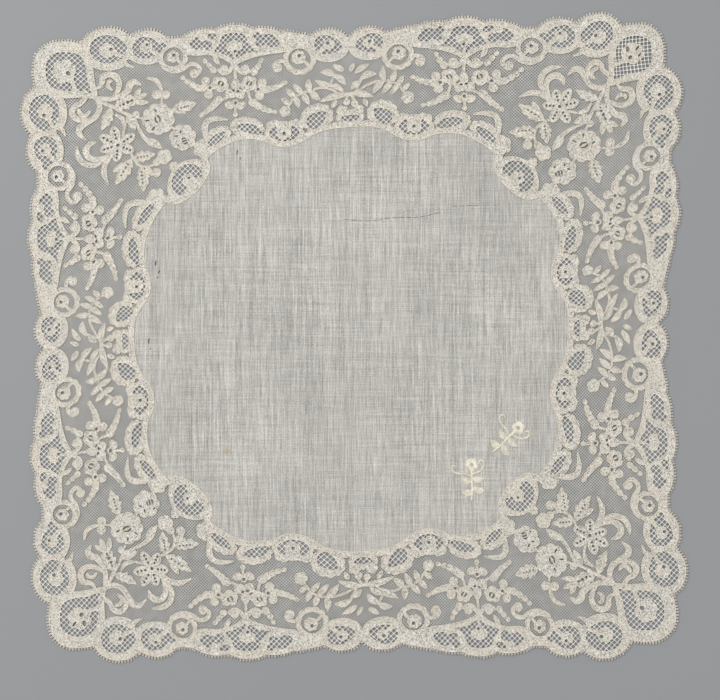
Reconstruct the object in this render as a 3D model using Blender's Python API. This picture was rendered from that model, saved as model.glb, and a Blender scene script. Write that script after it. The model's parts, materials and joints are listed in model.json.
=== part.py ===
"""A square lace handkerchief, laid flat: a linen centre sewn into a wide border of lace on net.

The pattern is drawn in millimetres on an ideal square with four equal sides. In a side's own frame,
along runs from the middle of the side towards its right corner, and out runs away from the centre.
A thin-plate spline then moves the drawing to where the slightly skewed cloth really lies.
Layers, from below: the linen and the net side by side, then the cloth work on top of both.
"""
import math
from collections import Counter, namedtuple

import bpy
import numpy as np
from mathutils import Vector
from mathutils.geometry import delaunay_2d_cdt

MM = 0.001

# thicknesses and gaps, in millimetres
SHEET = 1.0             # linen and net, built thicker than the real cloth
TRIM = 0.7              # cloth work, on top
GAP = 0.3               # between any two pieces
PICOTS = 1.3            # how far the net runs past the cloth work, where the picots stand
SEAM_COVER = 1.2        # how far the inner band reaches over the linen
SEAM_STRIP = 2.6        # and how far over the net

# drawing
SAMPLE = 1.3            # distance between points on a curve
TOLERANCE = 0.65        # how far a simplified outline may lie from its curve
SMALLEST = 1.5          # square millimetres: loops below this are dropped
SHORTEST = 0.8          # and the shortest edge in it
CUT_TOLERANCE = 0.02    # the same, where a piece is cut back to clear its neighbours
CUT_SHORTEST = 0.12
BLUNTEST = 0.5          # keeps the point of a grown sharp corner near
MERGE = 1e-4            # points closer than this are one

SIDES = 4
RIGHT_ANGLE = 90.0
CORNER = 189.7          # middle of the corner window, along and out
BEAN = 110.8            # middle of the bean-shaped window, on the diagonal
BOUQUET_ROOT = (76.8, 190.8)
SPRAY_ROOT = (0.0, 168.4)
POINTED = 1.0           # a band wider than this ends round, a narrower one in a point

# which shape covers which, from below
PLATE, WINDOW, FLORET = range(3)

Material = namedtuple("Material", "colour roughness")
LINEN = Material((0.53, 0.51, 0.47), 0.85)
NET = Material((0.42, 0.40, 0.36), 0.9)
CLOTH_WORK = Material((0.72, 0.67, 0.58), 0.8)
EMBROIDERY = Material((0.80, 0.73, 0.60), 0.75)

Oval = namedtuple("Oval", "along out length width turn taper bow")
Blossom = namedtuple("Blossom", "along out radius petals squash turn")
Band = namedtuple("Band", "route widths")
Leaf = namedtuple("Leaf", "along out tip_along tip_out width bend")
Bud = namedtuple("Bud", "along out radius")
Chain = namedtuple("Chain", "along out end_along end_out first last bend")
Anchor = namedtuple("Anchor", "along out side x y")
Sprig = namedtuple("Sprig", "x y turn")

# edge band, half a side
EDGE_PLATES = (
    Oval(13.4, 201.6, 27.6, 21.8, 0, 0.0, 0.0),
    Oval(53.5, 204.8, 34.0, 14.6, 12, 0.0, 0.0),
    Oval(76.8, 203.2, 35.0, 28.8, 0, 0.0, 0.0),
    Oval(99.4, 205.6, 31.0, 18.6, -8, 0.0, 0.0),
    Oval(136.8, 205.2, 29.6, 24.8, 0, 0.0, 0.0),
    Oval(162.7, 204.2, 35.0, 31.4, 0, 0.0, 0.0),
)
EDGE_BANDS = (
    Band([(22, 201.6), (32, 203.0), (42, 202.4)], [9, 7.6, 9]),
    Band([(110, 203.0), (119, 204.6), (128, 205.4)], [9, 8.4, 10]),
    Band([(76.8, 190.6), (84, 195.6), (95, 198.4), (106, 199.2), (114, 200)], [2.6, 3.4, 3.8, 3.8, 5]),
    Band([(76.8, 190.6), (70, 195.6), (60, 198.0), (50, 199.0), (40, 200)], [2.6, 3.4, 3.8, 3.8, 5]),
    Band([(40.5, 192), (44.6, 190.9), (48.4, 190.7), (50.2, 188.8)], [2.4, 2.2, 2.4, 3.4]),
    Band([(126, 190.5), (119, 186.4), (112.5, 187.6), (107.6, 191.0), (103.0, 190.4), (102.2, 187.0)],
         [2.0, 3.2, 3.0, 2.6, 2.6, 3.6]),
)
EDGE_RINGS = (
    Oval(32.6, 193.3, 21.4, 21.4, 0, 0.0, 0.0),
    Oval(119.0, 196.4, 20.6, 20.6, 0, 0.0, 0.0),
)
EDGE_WINDOWS = (
    Oval(13.6, 202.2, 19.2, 13.2, 8, -0.25, 0.0),
    Oval(55.0, 205.4, 19.6, 9.4, 18, -0.25, 0.8),
    Oval(99.0, 205.4, 19.0, 10.2, -12, 0.2, -0.8),
    Oval(136.7, 205.8, 21.4, 15.8, 0, -0.25, 0.0),
    Oval(162.5, 204.7, 24.8, 20.6, 0, -0.10, 0.0),
)
SHIELD = ((-7.0, 8.0), (0.4, 9.2), (7.8, 7.8), (11.0, 1.5), (13.0, -3.6), (6.0, -5.2),
          (0, -9.4), (-6.0, -5.2), (-13.0, -3.6), (-11.0, 1.5))
SHIELD_MIDDLE = (76.8, 202.8)
# the corner window, from its own middle in the top right corner
CARTOUCHE_PLATE = ((-18.6, -19.4), (-6.5, -18.0), (4.5, -17.2), (15.2, -14.5), (20.2, -4.0), (19.4, 9.6),
                   (11.8, 18.6), (0, 20.6), (-10.5, 18.8), (-17.2, 12.6), (-18.2, 2.0), (-18.0, -9.5))
CARTOUCHE = ((-15.2, -16.2), (-6.5, -14.0), (3.5, -12.8), (11.0, -9.0), (13.4, 0.0), (11.8, 9.0),
             (4.0, 13.0), (-6.0, 12.4), (-12.0, 7.0), (-14.0, -2.0), (-14.4, -9.5))
CARTOUCHE_STEM = Band([(0, 0), (-6, -6.5), (-10, -12), (-14, -16.5)], [2.5, 1.8, 1.8, 3])
CARTOUCHE_FLORET = Blossom(0, 0, 7.4, 8, 1.0, 0)

# corner spray, from the middle of the corner window
CORNER_BANDS = (
    Band([(-19.2, -20.0), (-22.6, -24.2), (-26.6, -31.2), (-32.0, -40.6), (-35.5, -54.0)],
         [3.0, 2.2, 1.7, 1.5, 1.5]),
    Band([(-19.4, -20.4), (-22.6, -22.6), (-28.3, -22.3), (-32.8, -18.0), (-36.7, -13.3), (-41.4, -10.9),
          (-46.9, -14.8)], [2.2, 3.2, 3.4, 3.0, 4.0, 4.6, 0.6]),
    Band([(-35.6, -14.6), (-33.2, -9.0), (-28.1, -6.2), (-24.6, -9.0), (-22.4, -13.4)],
         [2.2, 3.6, 4.4, 3.8, 1.2]),
    Band([(-20.2, -22.0), (-18.4, -29.7), (-15.4, -35.9), (-11.7, -40.6), (-9.6, -43.9), (-10.6, -49.0)],
         [2.4, 3.2, 3.6, 5.0, 4.8, 0.6]),
    Band([(-19.4, -21.2), (-13.0, -22.6), (-9.4, -25.6), (-4.8, -27.4), (-2.8, -31.2), (-4.9, -35.4),
          (-9.4, -37.3)], [1.4, 1.6, 2.6, 4.0, 4.0, 3.6, 2.8]),
    Band([(-53.0, -33.8), (-58.2, -27.3), (-57.8, -21.1), (-53.9, -17.2), (-48.8, -19.0)],
         [1.4, 2.6, 3.6, 4.4, 0.8]),
    Band([(-55.0, -31.0), (-64.0, -28.0), (-70.3, -26.2), (-77.4, -28.6)], [1.6, 3.4, 3.2, 0.6]),
    Band([(-52.6, -37.4), (-57.4, -40.6), (-62.5, -43.0), (-66.4, -46.0), (-69.0, -51.4), (-67.6, -57.6),
          (-64.6, -66.0)], [1.8, 1.5, 1.4, 1.3, 1.2, 1.2, 1.2]),
    Band([(-41.0, -66.8), (-45.0, -73.0)], [1.4, 1.4]),
    Band([(-50.6, -36.6), (-42.4, -37.2), (-31.6, -39.8)], [1.4, 1.2, 1.2]),
)
CORNER_LEAVES = (
    Leaf(-30.3, -70.0, -25.6, -86.2, 8.6, 0.0),
    Leaf(-61.4, -42.4, -77.9, -33.4, 6.4, 0.6),
    Leaf(-62.3, -42.4, -60.3, -57.4, 7.0, 0.0),
    Leaf(-68.3, -48.6, -84.0, -52.6, 7.0, 0.0),
    Leaf(-31.9, -40.4, -42.8, -44.2, 5.2, 0.0),
    Leaf(-26.0, -29.6, -40.0, -24.4, 6.6, 0.8),
    Leaf(-25.6, -30.6, -20.4, -50.2, 9.6, 0.0),
)
CORNER_BLOSSOMS = (
    Blossom(-35.1, -61.8, 11.2, 9, 1.0, 0),
    Blossom(-48.4, -78.4, 8.4, 7, 1.0, 0),
    Blossom(-63.2, -68.3, 4.6, 5, 1.0, 0),
)
STAR = (-51.5, -35.9)
STAR_PETALS = 6
STAR_TURN = 4
STAR_LENGTH = 11.6
STAR_WIDTH = 5.6

# bouquet, from the point of the shield window, along towards the corner
BOUQUET_BANDS = (
    Band([(0, 0), (0.4, -8.0), (1.0, -18.0)], [2.0, 1.4, 2.4]),
    Band([(0.2, -7.0), (5.0, -10.8), (9.6, -14.0)], [1.2, 1.4, 2.4]),
    Band([(0.2, -7.0), (-4.6, -10.2), (-8.0, -13.6)], [1.2, 1.4, 2.4]),
    Band([(11.6, -19.0), (11.4, -23.0), (12.9, -27.0)], [1.3, 1.2, 1.6]),
    Band([(-8.6, -18.0), (-9.6, -23.0), (-13.0, -27.4)], [1.3, 1.2, 1.6]),
    Band([(14.0, -17.0), (18.0, -19.2), (22.0, -19.2)], [1.3, 1.2, 1.4]),
    Band([(-12.0, -17.0), (-16.0, -18.6), (-21.0, -20.0)], [1.3, 1.2, 1.4]),
    Band([(1.0, -26.0), (0.6, -30.0), (0.4, -35.0)], [2.0, 7.0, 3.0]),
)
BOUQUET_BLOSSOMS = (
    Blossom(11.3, -15.8, 6.0, 6, 1.0, 0),
    Blossom(-9.2, -15.0, 5.8, 6, 1.0, 0),
    Blossom(1.0, -22.6, 6.0, 6, 0.82, 0),
)
BOUQUET_CHAINS = (
    Chain(12.9, -27.3, 27.3, -36.6, 2.9, 1.5, 0.0),
    Chain(14.6, -9.6, 21.0, -1.6, 2.6, 1.4, 0.0),
    Chain(-12.4, -9.0, -17.8, 0.6, 2.6, 1.4, 0.0),
    Chain(-21.6, -19.6, -34.4, -13.2, 2.7, 1.4, 1.0),
    Chain(-13.3, -27.7, -27.6, -33.2, 2.9, 1.5, -1.0),
)

# side spray, from its root near the middle of the side
SPRAY_BANDS = (
    Band([(0, 0), (-7.2, 0.6), (-12.4, 3.9), (-19.5, 5.2), (-25.6, 3.0), (-30.0, 2.4), (-36.2, -1.4),
          (-41.0, -8.6)], [1.8, 1.3, 1.2, 1.2, 1.2, 1.2, 1.2, 1.2]),
    Band([(0, 0), (4.0, 1.3), (11.0, 5.2), (17.6, 7.2), (23.4, 7.6), (28.4, 6.4), (33.0, 3.6),
          (37.6, -3.6)], [1.8, 1.3, 1.2, 1.2, 1.2, 1.2, 1.2, 1.2]),
    Band([(-12.4, 3.9), (-12.0, 8.4), (-9.8, 13.6)], [1.2, 1.2, 1.2]),
    Band([(4.0, 1.3), (7.0, 8.0), (8.0, 11.0)], [1.2, 1.2, 1.2]),
)
SPRAY_LEAVES = (
    Leaf(-1.6, 0.2, -19.8, -4.4, 3.8, -0.8), Leaf(1.6, 0.4, 15.6, -3.2, 3.8, 0.8),
    Leaf(-11.8, 6.8, -22.4, 10.4, 3.4, 0.8), Leaf(-10.0, 13.2, -19.2, 15.4, 4.0, -1.2),
    Leaf(-10.0, 13.2, -2.4, 6.2, 3.8, 0.8), Leaf(7.6, 10.2, 18.0, 12.2, 4.0, 1.4),
    Leaf(-25.8, 3.0, -26.6, 11.2, 3.6, 0.6), Leaf(22.8, 7.2, 22.6, 17.4, 3.6, 0.6),
    Leaf(-31.0, 1.8, -36.8, 8.0, 3.4, 0.0), Leaf(-30.8, 2.4, -26.4, -6.2, 3.4, 0.0),
    Leaf(28.3, 6.2, 30.8, 14.2, 3.4, 0.0), Leaf(28.3, 6.6, 21.4, -1.2, 3.4, 0.0),
)
SPRAY_BLOSSOMS = (Blossom(-42.0, -10.4, 3.6, 5, 1.0, 0), Blossom(38.6, -5.2, 4.2, 5, 1.0, 0))

# inner band, half a side
SEAM = ((0, 147.2), (14, 146.4), (23.5, 143.2), (30.5, 138.8), (36.5, 135.8), (43, 134.8), (49.5, 135.9),
        (56, 138.6), (66, 140.0), (76, 138.6), (86, 134.2), (93, 129.6), (97.6, 124.9), (96.4, 120.6),
        (96.2, 116.4), (99.1, 110.4), (104.1, 104.1))
INNER_PLATES = (
    Oval(21.6, 153.2, 21.6, 18.6, -20, 0.0, 0.0),
    Oval(35.0, 148.4, 9.6, 9.6, 0, 0.0, 0.0),
    Oval(42.7, 143.4, 27.0, 17.0, 0, 0.0, 0.0),
    Oval(50.0, 149.0, 10.4, 10.4, 0, 0.0, 0.0),
    Oval(67.5, 147.2, 24.0, 16.0, 6, 0.0, 0.0),
    Oval(89.6, 138.6, 22.4, 14.0, -36, 0.0, 0.0),
    Oval(99.4, 130.0, 12.4, 12.4, 0, 0.0, 0.0),
)
INNER_HOOK = Band([(96.0, 138.0), (98.8, 144.6), (97.4, 148.8), (91.0, 150.4), (82.0, 151.6)],
                  [3.0, 3.6, 3.2, 2.6, 0.6])
INNER_WINDOWS = (
    Oval(21.2, 152.4, 14.6, 10.0, -42, -0.35, 0.0),
    Oval(42.7, 142.0, 21.4, 8.6, 0, 0.0, -3.0),
    Oval(67.3, 144.8, 16.6, 6.4, 12, 0.0, 0.5),
    Oval(89.8, 137.9, 13.4, 5.2, -38, 0.0, 0.0),
)
MIDDLE_PLATE = Oval(0, 152.6, 18.0, 10.4, 0, 0.0, 0.0)
MIDDLE_BALLS = (Blossom(-5.4, 157.2, 3.6, 5, 1.0, 0), Blossom(5.4, 157.2, 3.6, 5, 1.0, 0))
MIDDLE_WINDOW = Oval(0, 152.8, 12.0, 5.2, 0, 0.0, -1.0)

# bean-shaped window, from its own middle, with out along the diagonal
BEAN_PLATE = Oval(0, -2.2, 34.0, 18.0, 0, 0.0, 4.6)
BEAN_POINT = Leaf(0, 8.0, 0, 16.4, 7.0, 0.0)
BEAN_WINDOW = Oval(0, -2.0, 27.0, 10.0, 0, 0.0, 5.6)
BEAN_LOBES = (Blossom(-3.0, -1.4, 3.6, 5, 1.0, 0), Blossom(3.0, -1.4, 3.6, 5, 1.0, 0),
              Blossom(0, -5.4, 5.0, 6, 0.8, 0))

# outline of the net, half a side: it follows the cloth work at a picot's length
NET_FILL = ((-150, 206), (-77, 208), (0, 205), (77, 208), (150, 206), (184, 200))

# two embroidered sprigs on the linen: middle in the drawing's frame, and turn
SPRIGS = (Sprig(78.7, -100.2, 20.0), Sprig(104.6, -73.2, -25.0))
SPRIG_BANDS = (Band([(-7.5, -11.5), (-4.0, -5.0), (-1.4, 2.0), (1.6, 8.4)], [1.2, 1.6, 1.8, 1.6]),)
SPRIG_LEAVES = (
    Leaf(-4.6, -6.4, -12.8, -4.6, 4.4, 0.8), Leaf(-3.6, -4.4, 4.8, -9.2, 4.4, -0.8),
    Leaf(-1.9, 0.2, -9.6, 4.6, 4.0, 0.8), Leaf(-1.2, 1.8, 7.4, -1.2, 4.0, -0.8),
)
SPRIG_BLOSSOM = Blossom(2.4, 10.6, 4.6, 5, 1.0, 0)

# where points of the drawing lie in the real cloth, in millimetres from its middle
ANCHORS = (
    Anchor(CORNER, CORNER, 0, 188.8, 192.6), Anchor(CORNER, CORNER, 1, 197.4, -185.1),
    Anchor(CORNER, CORNER, 2, -187.1, -189.8), Anchor(CORNER, CORNER, 3, -196.5, 181.7),
    Anchor(BEAN, BEAN, 0, 111.5, 109.9), Anchor(BEAN, BEAN, 1, 112.3, -107.8),
    Anchor(BEAN, BEAN, 2, -113.0, -110.2), Anchor(BEAN, BEAN, 3, -113.8, 108.3),
    Anchor(-162.5, 204.7, 0, -166.9, 195.7), Anchor(-76.8, 202.8, 0, -81.9, 198.0),
    Anchor(0.0, 202.0, 0, -3.9, 199.6), Anchor(76.8, 202.8, 0, 74.9, 202.8),
    Anchor(162.5, 204.7, 0, 165.4, 205.1),
    Anchor(-162.5, 204.7, 1, 206.7, 166.9), Anchor(-76.8, 202.8, 1, 205.1, 83.4),
    Anchor(0.0, 202.0, 1, 201.3, 10.1), Anchor(76.8, 202.8, 1, 202.8, -71.1),
    Anchor(162.5, 204.7, 1, 209.8, -156.9),
    Anchor(-162.5, 204.7, 2, 169.3, -202.3), Anchor(-76.8, 202.8, 2, 85.0, -200.7),
    Anchor(0.0, 202.0, 2, 5.2, -201.1), Anchor(76.8, 202.8, 2, -73.2, -203.0),
    Anchor(162.5, 204.7, 2, -160.6, -203.9),
    Anchor(-162.5, 204.7, 3, -203.6, -162.4), Anchor(-76.8, 202.8, 3, -204.3, -79.8),
    Anchor(0.0, 202.0, 3, -205.8, -7.2), Anchor(76.8, 202.8, 3, -205.8, 67.7),
    Anchor(162.5, 204.7, 3, -210.5, 152.8),
    Anchor(-42.7, 142.4, 0, -47.9, 138.6), Anchor(0.0, 152.2, 0, -2.7, 149.6),
    Anchor(42.7, 142.4, 0, 40.5, 143.4),
    Anchor(-42.7, 142.4, 1, 142.7, 45.0), Anchor(0.0, 152.2, 1, 151.4, 6.9),
    Anchor(42.7, 142.4, 1, 141.8, -37.6),
    Anchor(-42.7, 142.4, 2, 50.7, -138.2), Anchor(0.0, 152.2, 2, 6.1, -151.5),
    Anchor(42.7, 142.4, 2, -42.0, -142.2),
    Anchor(-42.7, 142.4, 3, -145.0, -42.3), Anchor(0.0, 152.2, 3, -156.0, -1.9),
    Anchor(42.7, 142.4, 3, -147.4, 35.0),
)
SLACK = 40.0            # how loosely the spline holds its anchors

# proportions of the shapes
OVAL_DENSITY = 1.5      # points on an oval for each sample of its length and width
OVAL_FEWEST = 8
PETAL_FEWEST = 3
PETAL_DEPTH = 0.14
SCALLOPED_FROM = 10.8   # radius: smaller flowers are plain and round
LEAF_FULLNESS = 0.9
LEAF_SHOULDER = 0.85
LEAF_FOOT = 0.3
LEAF_FEWEST = 5


def turned(points, degrees):
    """Points turned anticlockwise about the origin."""
    angle = math.radians(degrees)
    cos, sin = math.cos(angle), math.sin(angle)
    return np.asarray(points, float) @ np.array([[cos, sin], [-sin, cos]])


def smooth(route, closed=False):
    """A Catmull-Rom curve through a route, sampled evenly."""
    points = np.asarray(route, float)
    if closed:
        ring = np.vstack([points[-1], points, points[:2]])
    else:
        ring = np.vstack([2 * points[0] - points[1], points, 2 * points[-1] - points[-2]])
    curve = []
    for before, start, end, after in zip(ring, ring[1:], ring[2:], ring[3:]):
        count = max(2, math.ceil(np.linalg.norm(end - start) / SAMPLE))
        t = np.arange(count)[:, None] / count
        curve.append(start + 0.5 * ((end - before) * t
                                    + (2 * before - 5 * start + 4 * end - after) * t ** 2
                                    + (3 * start - before - 3 * end + after) * t ** 3))
    curve = np.vstack(curve)
    return curve if closed else np.vstack([curve, points[-1]])


def oval(row):
    """An oval, tapered along its length and bowed across it."""
    count = max(OVAL_FEWEST, round((row.length + row.width) * OVAL_DENSITY / SAMPLE))
    angle = 2 * math.pi * np.arange(count) / count
    along, across = np.cos(angle), np.sin(angle)
    across = across * (1 - row.taper * along) * row.width / 2 + row.bow * (1 - along ** 2)
    return turned(np.column_stack([along * row.length / 2, across]), row.turn) + (row.along, row.out)


def blossom(row):
    """A round flower with a scalloped edge."""
    count = row.petals * max(PETAL_FEWEST, round(2 * math.pi * row.radius / row.petals / SAMPLE))
    angle = 2 * math.pi * np.arange(count) / count
    depth = PETAL_DEPTH if row.radius > SCALLOPED_FROM else 0.0
    radius = row.radius * (1 - depth * (1 - np.abs(np.sin(row.petals * angle / 2))))
    points = np.column_stack([radius * np.cos(angle), radius * np.sin(angle) * row.squash])
    return turned(points, row.turn) + (row.along, row.out)


def leaf(row):
    """A leaf from its foot to its tip."""
    foot, tip = np.array([row.along, row.out]), np.array([row.tip_along, row.tip_out])
    length = np.linalg.norm(tip - foot)
    side = np.array([foot[1] - tip[1], tip[0] - foot[0]]) / length
    t = np.linspace(0, 1, max(LEAF_FEWEST, round(length / SAMPLE)))
    half = row.width / 2 * np.sin(math.pi * t ** LEAF_SHOULDER) ** LEAF_FULLNESS + LEAF_FOOT * (1 - t)
    middle = foot + np.outer(t, tip - foot) + np.outer(np.sin(math.pi * t) * row.bend, side)
    left, right = middle + side * half[:, None], middle - side * half[:, None]
    return np.vstack([left[:-1], tip, right[-2::-1]])


def band(row):
    """A flat band along a smooth route, with a width at each point of the route."""
    line = smooth(row.route)
    travelled = np.concatenate([[0], np.cumsum(np.linalg.norm(np.diff(line, axis=0), axis=1))])
    keys = [travelled[np.argmin(np.linalg.norm(line - point, axis=1))] for point in row.route]
    half = np.interp(travelled, keys, row.widths) / 2
    heading = np.gradient(line, axis=0)
    heading /= np.linalg.norm(heading, axis=1)[:, None]
    side = np.column_stack([-heading[:, 1], heading[:, 0]]) * half[:, None]
    end = [line[-1] + heading[-1] * half[-1]] if row.widths[-1] > POINTED else []
    start = [line[0] - heading[0] * half[0]] if row.widths[0] > POINTED else []
    return np.array([*(line + side), *end, *(line - side)[::-1], *start])


def bud(row):
    """A round bud."""
    return oval(Oval(row.along, row.out, 2 * row.radius, 2 * row.radius, 0, 0.0, 0.0))


def chain(row):
    """Buds that taper along a line, drawn as one band."""
    foot, tip = np.array([row.along, row.out]), np.array([row.end_along, row.end_out])
    side = np.array([foot[1] - tip[1], tip[0] - foot[0]]) / np.linalg.norm(tip - foot)
    middle = (foot + tip) / 2 + side * row.bend
    return band(Band([foot, middle, tip], [2 * row.first, row.first + row.last, 2 * row.last]))


DRAW = {Oval: oval, Blossom: blossom, Leaf: leaf, Band: band, Bud: bud, Chain: chain}


def drawn(level, rows, origin=(0.0, 0.0)):
    """The loops of some rows, each with the level that it is painted at."""
    loops = []
    for row in rows:
        loops.append((level, DRAW[type(row)](row) + np.asarray(origin)))
    return loops


def grown(loop, distance):
    """The loop with its points moved to its right, which is outwards if it runs anticlockwise."""
    along = np.roll(loop, -1, axis=0) - loop
    along /= np.linalg.norm(along, axis=1)[:, None]
    right = np.column_stack([along[:, 1], -along[:, 0]])
    corner = right + np.roll(right, 1, axis=0)
    reach = np.maximum((corner ** 2).sum(axis=1) / 2, BLUNTEST)
    return loop + distance * corner / reach[:, None]


def placed(loops, side, mirrored=False):
    """Loops drawn in a side's frame, moved to one of the four sides."""
    flip = (-1, 1) if mirrored else (1, 1)
    return [(level, turned(loop * flip, -RIGHT_ANGLE * side)) for level, loop in loops]


def both_halves(loops, side):
    """Loops of half a side, on both halves of it."""
    return placed(loops, side) + placed(loops, side, mirrored=True)


def seam_loop(distance=0.0):
    """The sewn edge of the linen all round, grown by a distance."""
    half = np.array(SEAM, float)
    quarter = np.vstack([half, half[-2:0:-1, ::-1]])
    loop = smooth(np.vstack([turned(quarter, -RIGHT_ANGLE * side) for side in range(SIDES)]), closed=True)
    return grown(loop[::-1], distance)


def edge_band(side):
    """The plates and windows along a side, and the corner at its right end."""
    half = drawn(PLATE, EDGE_PLATES + EDGE_BANDS + EDGE_RINGS) + drawn(WINDOW, EDGE_WINDOWS)
    half.append((WINDOW, smooth(SHIELD, closed=True) + SHIELD_MIDDLE))
    corner = [(PLATE, smooth(CARTOUCHE_PLATE, closed=True) + CORNER),
              (WINDOW, smooth(CARTOUCHE, closed=True) + CORNER)]
    corner += drawn(FLORET, (CARTOUCHE_STEM, CARTOUCHE_FLORET), (CORNER, CORNER))
    return both_halves(half, side) + placed(corner, side)


def inner_band(side):
    """The band over the seam along a side, and the bean-shaped window at its right end."""
    half = drawn(PLATE, INNER_PLATES + (INNER_HOOK,))
    half += drawn(WINDOW, INNER_WINDOWS)
    middle = drawn(PLATE, (MIDDLE_PLATE, *MIDDLE_BALLS)) + drawn(WINDOW, (MIDDLE_WINDOW,))
    bean = drawn(PLATE, (BEAN_PLATE, BEAN_POINT)) + drawn(WINDOW, (BEAN_WINDOW,)) + drawn(FLORET, BEAN_LOBES)
    bean = [(level, turned(loop, -RIGHT_ANGLE / 2) + BEAN) for level, loop in bean]
    return both_halves(half, side) + placed(middle + bean, side)


def corner_spray(side):
    """The spray with the rose and the star flower."""
    petals = []
    for turn in np.arange(STAR_PETALS) * 2 * math.pi / STAR_PETALS + math.radians(STAR_TURN):
        tip = np.array(STAR) + STAR_LENGTH * np.array([math.cos(turn), math.sin(turn)])
        petals.append(Leaf(*STAR, *tip, STAR_WIDTH, 0.0))
    rows = CORNER_BANDS + CORNER_LEAVES + CORNER_BLOSSOMS + (*petals, Bud(*STAR, STAR_WIDTH / 2))
    return placed(drawn(PLATE, rows, (CORNER, CORNER)), side)


def bouquet(side, mirrored):
    """The bouquet that hangs from the shield window."""
    rows = BOUQUET_BANDS + BOUQUET_BLOSSOMS + BOUQUET_CHAINS
    return placed(drawn(PLATE, rows, BOUQUET_ROOT), side, mirrored)


def side_spray(side):
    """The spreading spray in the middle of a side."""
    rows = SPRAY_BANDS + SPRAY_LEAVES + SPRAY_BLOSSOMS
    return placed(drawn(PLATE, rows, SPRAY_ROOT), side)


def net_ground():
    """The net: everything under the edge band and inside it."""
    fill = np.vstack([turned(np.array(NET_FILL, float), -RIGHT_ANGLE * side) for side in range(SIDES)])
    loops = [(PLATE, smooth(fill[::-1], closed=True))]
    for side in range(SIDES):
        loops += [(level, grown(anticlockwise(loop), PICOTS)) for level, loop in edge_band(side)
                  if level == PLATE]
    return loops


def sprig(row):
    """A small embroidered sprig."""
    loops = drawn(PLATE, SPRIG_BANDS + SPRIG_LEAVES + (SPRIG_BLOSSOM,))
    return [(level, turned(loop, row.turn) + (row.x, row.y)) for level, loop in loops]


def signed_area(loop):
    """Positive for a loop that runs anticlockwise."""
    x, y = loop[:, 0], loop[:, 1]
    return 0.5 * float(np.sum(x * np.roll(y, -1) - y * np.roll(x, -1)))


def anticlockwise(loop):
    """The loop, turned round if it runs clockwise."""
    return loop if signed_area(loop) > 0 else loop[::-1]


def triangulate(loops):
    """The plane cut along the loops: its points, its triangles, and the loops that hold each triangle."""
    points, faces = [], []
    for loop in loops:
        faces.append(list(range(len(points), len(points) + len(loop))))
        points += [Vector(point) for point in anticlockwise(loop)]
    points, _, triangles, _, _, held = delaunay_2d_cdt(points, [], faces, 1, MERGE)
    return np.array([point[:] for point in points]), triangles, held


def rims(triangles):
    """The closed rims of some triangles, each as a list of points with the triangles on its left."""
    edges = {(a, b) for tri in triangles for a, b in zip(tri, (*tri[1:], tri[0]))}
    onward = {}
    for a, b in sorted(edges):
        if (b, a) not in edges:
            onward.setdefault(a, []).append(b)
    loops = []
    while onward:
        start = min(onward)
        loop, here = [], start
        while here in onward:
            loop.append(here)
            ahead = onward[here].pop()
            if not onward[here]:
                del onward[here]
            here = ahead
        loops.append(loop)
    return loops


def one_body(points, triangles):
    """The triangles that hang together round the largest area."""
    owner = {}
    for number, tri in enumerate(triangles):
        for a, b in zip(tri, (*tri[1:], tri[0])):
            owner[a, b] = number
    left, bodies = set(range(len(triangles))), []
    while left:
        body, found = [], [left.pop()]
        while found:
            number = found.pop()
            body.append(triangles[number])
            a, b, c = triangles[number]
            for edge in ((b, a), (c, b), (a, c)):
                if owner.get(edge) in left:
                    left.remove(owner[edge])
                    found.append(owner[edge])
        bodies.append(body)
    return max(bodies, key=lambda body: sum(signed_area(points[list(tri)]) for tri in body))


def simplified(loop, tolerance, shortest):
    """The loop with as few points as the tolerance allows."""
    far = int(np.argmax(np.linalg.norm(loop - loop[0], axis=1)))
    keep = {0, far}
    spans = [(0, far), (far, len(loop))]
    while spans:
        first, last = spans.pop()
        start, end = loop[first], loop[last % len(loop)]
        inside = loop[first + 1:last]
        if len(inside) == 0:
            continue
        across = (end - start) / max(np.linalg.norm(end - start), MERGE)
        away = np.abs((inside - start) @ np.array([-across[1], across[0]]))
        if away.max() > tolerance:
            middle = first + 1 + int(np.argmax(away))
            keep.add(middle)
            spans += [(first, middle), (middle, last)]
    loop = loop[sorted(keep)]
    return loop[np.linalg.norm(loop - np.roll(loop, 1, axis=0), axis=1) > shortest]


def region(loops):
    """The outlines of what is left when the loops are painted in the order of their levels."""
    loops = sorted(loops, key=lambda shape: shape[0])
    points, triangles, held = triangulate([loop for _, loop in loops])
    solid = [tri for tri, inside in zip(triangles, held) if inside and loops[max(inside)][0] != WINDOW]
    outlines = [simplified(points[rim], TOLERANCE, SHORTEST) for rim in rims(one_body(points, solid))]
    return [loop for loop in outlines if len(loop) > 2 and abs(signed_area(loop)) > SMALLEST]


def cut_back(outlines, neighbours):
    """The outlines, cut back to leave a gap round each neighbour's outlines."""
    owners, loops = [0] * len(outlines), list(outlines)
    for owner, neighbour in enumerate(neighbours, 1):
        owners += [owner] * len(neighbour)
        loops += [grown(loop, GAP) for loop in neighbour]
    points, triangles, held = triangulate(loops)
    solid = []
    for tri, inside in zip(triangles, held):
        times = Counter(owners[index] for index in inside)
        own = times.pop(0, 0)
        if own % 2 and not any(count % 2 for count in times.values()):
            solid.append(tri)
    outlines = [simplified(points[rim], CUT_TOLERANCE, CUT_SHORTEST) for rim in rims(one_body(points, solid))]
    return [loop for loop in outlines if len(loop) > 2 and abs(signed_area(loop)) > SMALLEST]


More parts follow.
